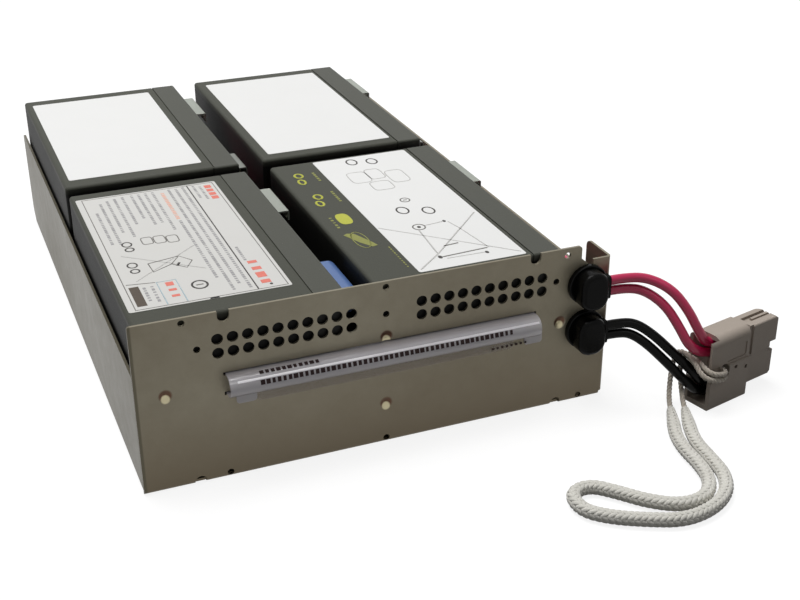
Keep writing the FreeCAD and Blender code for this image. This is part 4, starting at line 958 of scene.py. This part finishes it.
    def on_strip(self, across: float, angle: float, lift: float = 0.03) -> Point:
        """Place a point on the strip's round front.

        Args:
            across: Its place across the cartridge, in millimetres.
            angle: How far it is turned up from the level, in degrees.
            lift: How far it stands off the film, in millimetres.

        Returns:
            The place in metres.
        """
        low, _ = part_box("pull_strip")
        turn = math.radians(angle)
        reach = self.strip_round + lift
        return (across * MM, low[1] + (self.strip_round - reach * math.cos(turn)) * MM,
                (self.strip_middle + reach * math.sin(turn)) * MM)

    def strip(self) -> None:
        """Print rows of dashes on the pull strip and paint a highlight along its fold."""
        rows = (("short_row", -58.0, -33.4, 73.0, 1.9, 20), ("long_row", -58.4, 57.0, 19.0, 2.1, 21))
        for part, start, end, angle, height, seed in rows:
            line = [self.on_strip(start, angle), self.on_strip(end, angle)]
            self.press.words(f"strip_{part}", Ink.STRIP_DASH, [line], Pitch=0.0024, Shortest=0.6,
                             Dash=(0.0021, self.film * 2, height * MM), Tilt=-math.radians(angle), Seed=seed)
        # A thin band along the fold that carries the painted highlight.
        ring = [(46.0, 0.06), (40.0, 0.06), (34.0, 0.06), (34.0, 0.0), (40.0, 0.0), (46.0, 0.0)]
        left, right = ([self.on_strip(across, angle, lift) for angle, lift in ring] for across in (-69.0, 71.4))
        self.press.solid("strip_fold_highlight", *prism(left, right), STRIP_FOLD_HIGHLIGHT, "clear_strip")

    def flap(self) -> None:
        """Hang the flap of clear film that lies on the panel under the strip, with its short row of dashes."""
        left, right, top, foot, corner = -59.6, 62.0, 41.5, 35.4, 2.4
        front, back, skipped, steps = -163.05, -162.75, 0.3, 5
        outline = [(left, top), (left, foot + corner)]
        outline += [(left + corner - corner * math.cos(turn), foot + corner - corner * math.sin(turn))
                    for turn in np.linspace(skipped, math.pi / 2, steps)]
        outline += [(right - corner + corner * math.sin(turn), foot + corner - corner * math.cos(turn))
                    for turn in np.linspace(0.0, math.pi / 2 - skipped, steps)]
        outline += [(right, foot + corner), (right, top)]
        near, far = ([(x * MM, y * MM, z * MM) for x, z in outline] for y in (front, back))
        self.press.solid("strip_lower_flap", *prism(near, far), STRIP_FLAP, "clear_strip")
        self.press.words("strip_end_row", Ink.STRIP_DASH, [millimetres((51.6, -163.1, 37.1), (68.0, -163.1, 37.4))],
                         Pitch=0.0022, Dash=(0.0018, self.film * 2, 0.0011), Shortest=0.55, Seed=31)


# ---------- cords
@dataclass
class OuterCable:
    """One of the four free cables from a bushing to the plug."""

    node: str
    insulation: Finish
    points: list[Point]
    length: float
    diameter: float = 0.0046

    def make(self, finishes: Finishes, plug_pieces: list[Object]) -> Object:
        """Args:
            finishes: The cartridge's materials.
            plug_pieces: What the cable carries at its far end; not used.

        Returns:
            The cable.
        """
        cable = route_curve(f"{self.node}_insulation", self.points, self.diameter)
        cable.data.materials.append(finishes.of(self.insulation))
        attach(cable, "root")
        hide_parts(self.node)
        return cable


def gathered(strands: list[tuple[np.ndarray, list[Face]]]) -> tuple[np.ndarray, list[Face]]:
    """Join strands, each with its vertices and faces, into one mesh's vertices and faces."""
    faces: list[Face] = []
    base = 0
    for vertices, own in strands:
        faces.extend(tuple(number + base for number in face) for face in own)
        base += len(vertices)
    return np.concatenate([vertices for vertices, _ in strands]), faces


@dataclass
class TextileCord:
    """A loose cord whose strands are modelled one by one."""

    node: str
    points: list[Point]
    length: float
    diameter: float
    step: float
    slot: str
    part: str
    yarn: YarnFinish

    def strands(self, line: np.ndarray) -> list[tuple[np.ndarray, list[Face]]]:
        """Make the strands.

        Args:
            line: Places along the cord's middle.

        Returns:
            Each strand's vertices and faces.
        """
        raise NotImplementedError

    def make(self, finishes: Finishes) -> Object:
        """Args:
            finishes: The cartridge's materials.

        Returns:
            The cord.
        """
        line = read_line(self.points, self.step)
        piece = new_piece(f"{self.node}_{self.part}", *gathered(self.strands(line)), finishes.of(self.yarn),
                          self.slot)
        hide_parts(self.node)
        return piece


@dataclass
class TwistedTie(TextileCord):
    """A thin twisted cord made of three plies."""

    diameter: float = 0.0026
    step: float = 0.0004
    slot: str = "tie_cord"
    part: str = "plies"
    yarn: YarnFinish = TIE_YARN
    plies: int = 3
    lay_length: float = 0.0062
    ply_share: float = 0.27
    around: int = 8

    def strands(self, line: np.ndarray) -> list[tuple[np.ndarray, list[Face]]]:
        """Twist the plies round the middle."""
        _, first, second = carried_frames(line)
        run = runs_along(line)
        ply = self.diameter * self.ply_share
        offset = self.diameter / 2 - ply
        made = []
        for index in range(self.plies):
            turn = 2 * math.pi * (run / self.lay_length + index / self.plies)
            path = line + first * (np.cos(turn) * offset)[:, None] + second * (np.sin(turn) * offset)[:, None]
            made.append(tube_mesh(path, np.full(len(path), ply), self.around))
        return made


@dataclass
class BraidedHandle(TextileCord):
    """The braided rope that pulls the plug off."""

    diameter: float = 0.0064
    step: float = 0.0007
    slot: str = "rope"
    part: str = "braid"
    yarn: YarnFinish = ROPE_YARN
    carriers: int = 8
    braid_length: float = 0.0205
    tip_taper: float = 0.012
    tip_share: float = 0.55
    tip_fullness: float = 0.7
    strand_share: float = 0.135
    strand_width: float = 1.22
    strand_flatness: float = 0.62
    inset: float = 1.05
    crossing_rise: float = 0.30
    core_inset: float = 0.2
    strand_around: int = 6
    core_around: int = 10

    def strands(self, line: np.ndarray) -> list[tuple[np.ndarray, list[Face]]]:
        """Interlace the strands of both directions over a core."""
        _, first, second = carried_frames(line)
        run = runs_along(line)
        ends = np.minimum(run, run[-1] - run)
        scale = self.tip_share + (1 - self.tip_share) * np.clip(ends / self.tip_taper, 0, 1) ** self.tip_fullness
        strand = self.diameter * self.strand_share
        middle = self.diameter / 2 - strand * self.inset
        crossings = self.carriers * run / self.braid_length
        made = []
        for direction, phase in ((1, 0.5), (-1, 1.5)):
            for index in range(self.carriers):
                turn = direction * 2 * math.pi * run / self.braid_length + 2 * math.pi * index / self.carriers
                wave = np.sin(math.pi * (crossings + index + phase))
                radius = (middle + wave * strand * self.crossing_rise) * scale
                out = first * np.cos(turn)[:, None] + second * np.sin(turn)[:, None]
                made.append(tube_mesh(line + out * radius[:, None], strand * self.strand_width * scale,
                                      self.strand_around, self.strand_flatness, out))
        made.append(tube_mesh(line, (middle - strand * self.core_inset) * scale, self.core_around))
        return made


CABLES = (
    OuterCable("red_cable_upper", RED_WIRE, millimetres(
        (106.4, -168.5, 63.9), (115.0, -168.5, 63.9), (126.0, -170.7, 62.8), (135.0, -178.0, 58.2),
        (140.8, -184.0, 49.0), (144.4, -187.8, 40.0)) + [on_plug(3.6, 7.5, 31.2), on_plug(13.5, 7.5, 31.2)], 0.074),
    OuterCable("red_cable_lower", RED_WIRE, millimetres(
        (106.4, -168.5, 58.7), (115.0, -168.5, 58.7), (124.5, -170.5, 56.8), (132.0, -177.7, 50.9),
        (136.5, -184.0, 41.5), (140.0, -188.5, 32.5)) + [on_plug(3.4, 7.5, 26.5), on_plug(13.5, 7.5, 26.5)], 0.0736),
    OuterCable("black_cable_upper", BLACK_WIRE, millimetres(
        (106.4, -168.5, 40.8), (113.0, -168.5, 40.8), (121.0, -170.5, 40.4), (128.0, -176.3, 35.5),
        (135.5, -181.8, 27.4), (143.8, -187.3, 18.4)) + [on_plug(4.2, 7.5, 10.2), on_plug(13.5, 7.5, 10.2)], 0.0699),
    OuterCable("black_cable_lower", BLACK_WIRE, millimetres(
        (106.4, -168.5, 35.8), (112.5, -168.5, 35.8), (119.0, -170.5, 35.4), (125.0, -175.7, 31.2),
        (132.5, -181.3, 23.0), (140.3, -187.1, 13.8)) + [on_plug(2.6, 7.5, 5.5), on_plug(13.5, 7.5, 5.5)], 0.0698),
)
TIES = (
    TwistedTie("tie_cord_a", [
        on_plug(9.2, 15.5, 19.3), on_plug(9.2, 7.0, 19.3), on_plug(9.2, -2.4, 19.2), on_plug(1.2, -2.8, 20.4)]
        + millimetres((146.0, -196.2, 22.0), (146.0, -187.4, 24.0), (141.7, -181.0, 24.8), (142.6, -179.2, 14.4),
                      (140.1, -186.0, 7.6), (137.408, -191.54, 5.586), (135.2, -196.6, 4.85)), 0.0757),
    TwistedTie("tie_cord_b", [
        on_plug(9.2, 15.5, 16.6), on_plug(9.2, 7.0, 16.6), on_plug(9.2, -2.4, 16.5), on_plug(0.6, -3.0, 17.6)]
        + millimetres((143.1, -196.8, 19.8), (143.0, -187.4, 25.8), (139.7, -179.8, 27.4), (139.6, -176.8, 16.4),
                      (135.2, -182.8, 8.4), (131.27, -189.346, 5.586), (129.2, -193.9, 4.85)), 0.0838),
)
HANDLE = BraidedHandle("pull_rope", millimetres(
    (129.2, -193.9, 4.85), (124.7, -203.8, 3.25), (120.2, -212.6, 3.25), (117.5, -223.4, 3.25),
    (117.0, -236.0, 3.25), (114.3, -248.6, 3.25), (106.0, -258.0, 3.25), (93.5, -259.2, 3.25),
    (82.0, -251.6, 3.25), (72.8, -240.2, 3.25), (64.5, -231.8, 3.25), (54.2, -234.2, 3.25),
    (53.0, -246.2, 3.25), (61.4, -254.9, 3.25), (74.0, -262.0, 3.25), (88.0, -268.2, 3.25),
    (103.0, -266.2, 3.25), (115.2, -259.2, 3.25), (122.6, -247.6, 3.25), (124.2, -234.0, 3.25),
    (125.4, -220.6, 3.25), (130.4, -207.6, 3.25), (135.2, -196.6, 4.85)), 0.2781)


# ---------- materials by node
class Finishes:
    """Every material of the cartridge, and which CAD node wears which."""

    by_start = (
        ("battery_case", CASE), ("battery_lid", LID), ("battery_label_front_left", GREY_PAPER),
        ("battery_label", PAPER), ("terminal_boot", BLUE), ("terminal", TIN), ("clip", TIN), ("guard", GUARD),
        ("sleeve", SLEEVE), ("jumper", BLACK_WIRE), ("lead_red", RED_WIRE), ("lead_black", BLACK_WIRE),
        ("red_cable", RED_WIRE), ("black_cable", BLACK_WIRE), ("bushing", BUSHING), ("connector_housing", PLUG),
        ("connector_contact", CONTACT), ("tie", TIE_YARN), ("pull_rope", ROPE_YARN), ("pull_strip", STRIP),
        ("tray", STEEL),
    )

    def __init__(self) -> None:
        """Build the materials."""
        effects = Effects()
        worn = {finish.name: finish for _, finish in (*self.by_start, ("", STRIP_FOLD_HIGHLIGHT), ("", STRIP_FLAP))}
        self.materials = {name: finish.build(effects) for name, finish in worn.items()}
        self.materials.update({ink.name: ink.build() for ink in Ink})

    def of(self, finish: Finish | YarnFinish | Ink) -> Material:
        """Return a finish's or an ink's material."""
        return self.materials[finish.name]

    def dress_nodes(self) -> None:
        """Put each CAD node's material on it."""
        for name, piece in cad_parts.items():
            material = self.of(next(finish for start, finish in self.by_start if name.startswith(start)))
            if not piece.data.materials:
                piece.data.materials.append(material)
            for index in range(len(piece.data.materials)):
                piece.data.materials[index] = material
            LOG.info("dressed %s in %s", name, material.name)


# ---------- studio
@dataclass
class Studio:
    """Camera, floor, world and lamps."""

    camera_place: Point = (-0.18061, -0.62648, 0.32073)
    camera_yaw: float = 21.956
    camera_pitch: float = -26.573
    camera_roll: float = -0.3005
    focal: float = 58.395
    sensor: float = 36.0
    floor_size: float = 6.0
    floor_grey: float = 0.2
    floor_glow: float = 0.86
    world_fill: float = 0.1
    aim: Point = (0.0, 0.0, 0.04)

    def camera(self) -> None:
        """Set the camera."""
        data = bpy.data.cameras.new("camera")
        data.sensor_width = self.sensor
        data.lens = self.focal
        camera = new_object("camera", data)
        yaw, pitch, roll = (math.radians(turn) for turn in (self.camera_yaw, self.camera_pitch, self.camera_roll))
        ahead = Vector((math.sin(yaw) * math.cos(pitch), math.cos(yaw) * math.cos(pitch), math.sin(pitch)))
        right = ahead.cross(Vector((0, 0, 1))).normalized()
        up = right.cross(ahead)
        across = right * math.cos(roll) + up * math.sin(roll)
        upward = up * math.cos(roll) - right * math.sin(roll)
        turn = Matrix((across, upward, -ahead)).transposed().to_4x4()
        camera.matrix_world = Matrix.Translation(self.camera_place) @ turn
        bpy.context.scene.camera = camera

    @staticmethod
    def backdrop(wires: Wiring, unseen: NodeSocket, seen: NodeSocket) -> NodeSocket:
        """Choose between two shaders by what the ray does.

        Args:
            wires: The tree to add to.
            unseen: The shader for the rays that light the object.
            seen: The shader for the rays that see the backdrop: to the eye, mirrored or through glass.

        Returns:
            The chosen shader's socket.
        """
        rays = wires.add("ShaderNodeLightPath").outputs
        mirrored = wires.reckon("MAXIMUM", rays["Is Camera Ray"], rays["Is Glossy Ray"])
        mask = wires.reckon("MAXIMUM", mirrored, rays["Is Transmission Ray"])
        return wires.add("ShaderNodeMixShader", {"Fac": mask, 1: unseen, 2: seen}).outputs[0]

    def floor(self) -> None:
        """Lay the pale floor."""
        half = self.floor_size / 2
        mesh = bpy.data.meshes.new("floor")
        mesh.from_pydata([(-half, -half, 0), (half, -half, 0), (half, half, 0), (-half, half, 0)], [], [(0, 1, 2, 3)])
        floor = new_object("floor", mesh)
        material, wires, shader = new_material("pale_floor")
        grey = self.floor_grey
        wires.feed(shader, {"Base Color": (grey, grey, grey, 1), "Roughness": 0.9, "Specular IOR Level": 0.1})
        dark, glow = (wires.add("ShaderNodeEmission", {"Strength": strength}).outputs[0]
                      for strength in (0.0, self.floor_glow))
        both = wires.add("ShaderNodeAddShader", {0: shader.outputs[0], 1: self.backdrop(wires, dark, glow)})
        wires.feed(wires.tree.nodes["Material Output"], {"Surface": both.outputs[0]})
        floor.data.materials.append(material)

    def world(self) -> None:
        """Make the world white to the eye and softly lit."""
        world = bpy.data.worlds.new("studio")
        bpy.context.scene.world = world
        world.use_nodes = True
        wires = Wiring(world.node_tree)
        wires.tree.nodes.clear()
        fill = wires.add("ShaderNodeBackground", {"Strength": self.world_fill}).outputs[0]
        white = wires.add("ShaderNodeBackground", {"Color": (1, 1, 1, 1)}).outputs[0]
        wires.add("ShaderNodeOutputWorld", {"Surface": self.backdrop(wires, fill, white)})

    def lamp(self, name: str, place: Point, power: float, size: float) -> None:
        """Hang a square soft lamp that faces the cartridge.

        Args:
            name: Its name.
            place: Where it hangs.
            power: Its power in watts.
            size: The length of its side.
        """
        data = bpy.data.lights.new(name, "AREA")
        data.energy = power
        data.size = size
        lamp = new_object(name, data)
        lamp.location = place
        lamp.rotation_euler = (Vector(self.aim) - Vector(place)).to_track_quat("-Z", "Y").to_euler()

    def build(self) -> None:
        """Set up the whole studio."""
        bpy.context.scene.view_settings.view_transform = "Standard"
        self.camera()
        self.floor()
        self.world()
        self.lamp("overhead", (-0.2, 0.3, 1.85), 38.0, 1.2)
        self.lamp("front", (0.4, -1.3, 1.5), 1.6, 0.4)


# ---------- the whole
def main() -> None:
    """Build the cartridge's looks in order."""
    logging.basicConfig(level=logging.INFO, format="%(name)s: %(message)s")
    finishes = Finishes()
    finishes.dress_nodes()
    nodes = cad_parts
    plug_pieces = [nodes["connector_housing"], nodes["connector_contact_upper"], nodes["connector_contact_lower"]]
    Studio().build()
    pieces = [cable.make(finishes, plug_pieces) for cable in CABLES]
    pieces += [cord.make(finishes) for cord in (*TIES, HANDLE)]
    pieces += CartridgePrint(Press(finishes)).build()
    for piece in pieces:
        LOG.info("made %s", piece.name)


if __name__ == "__main__":
    main()
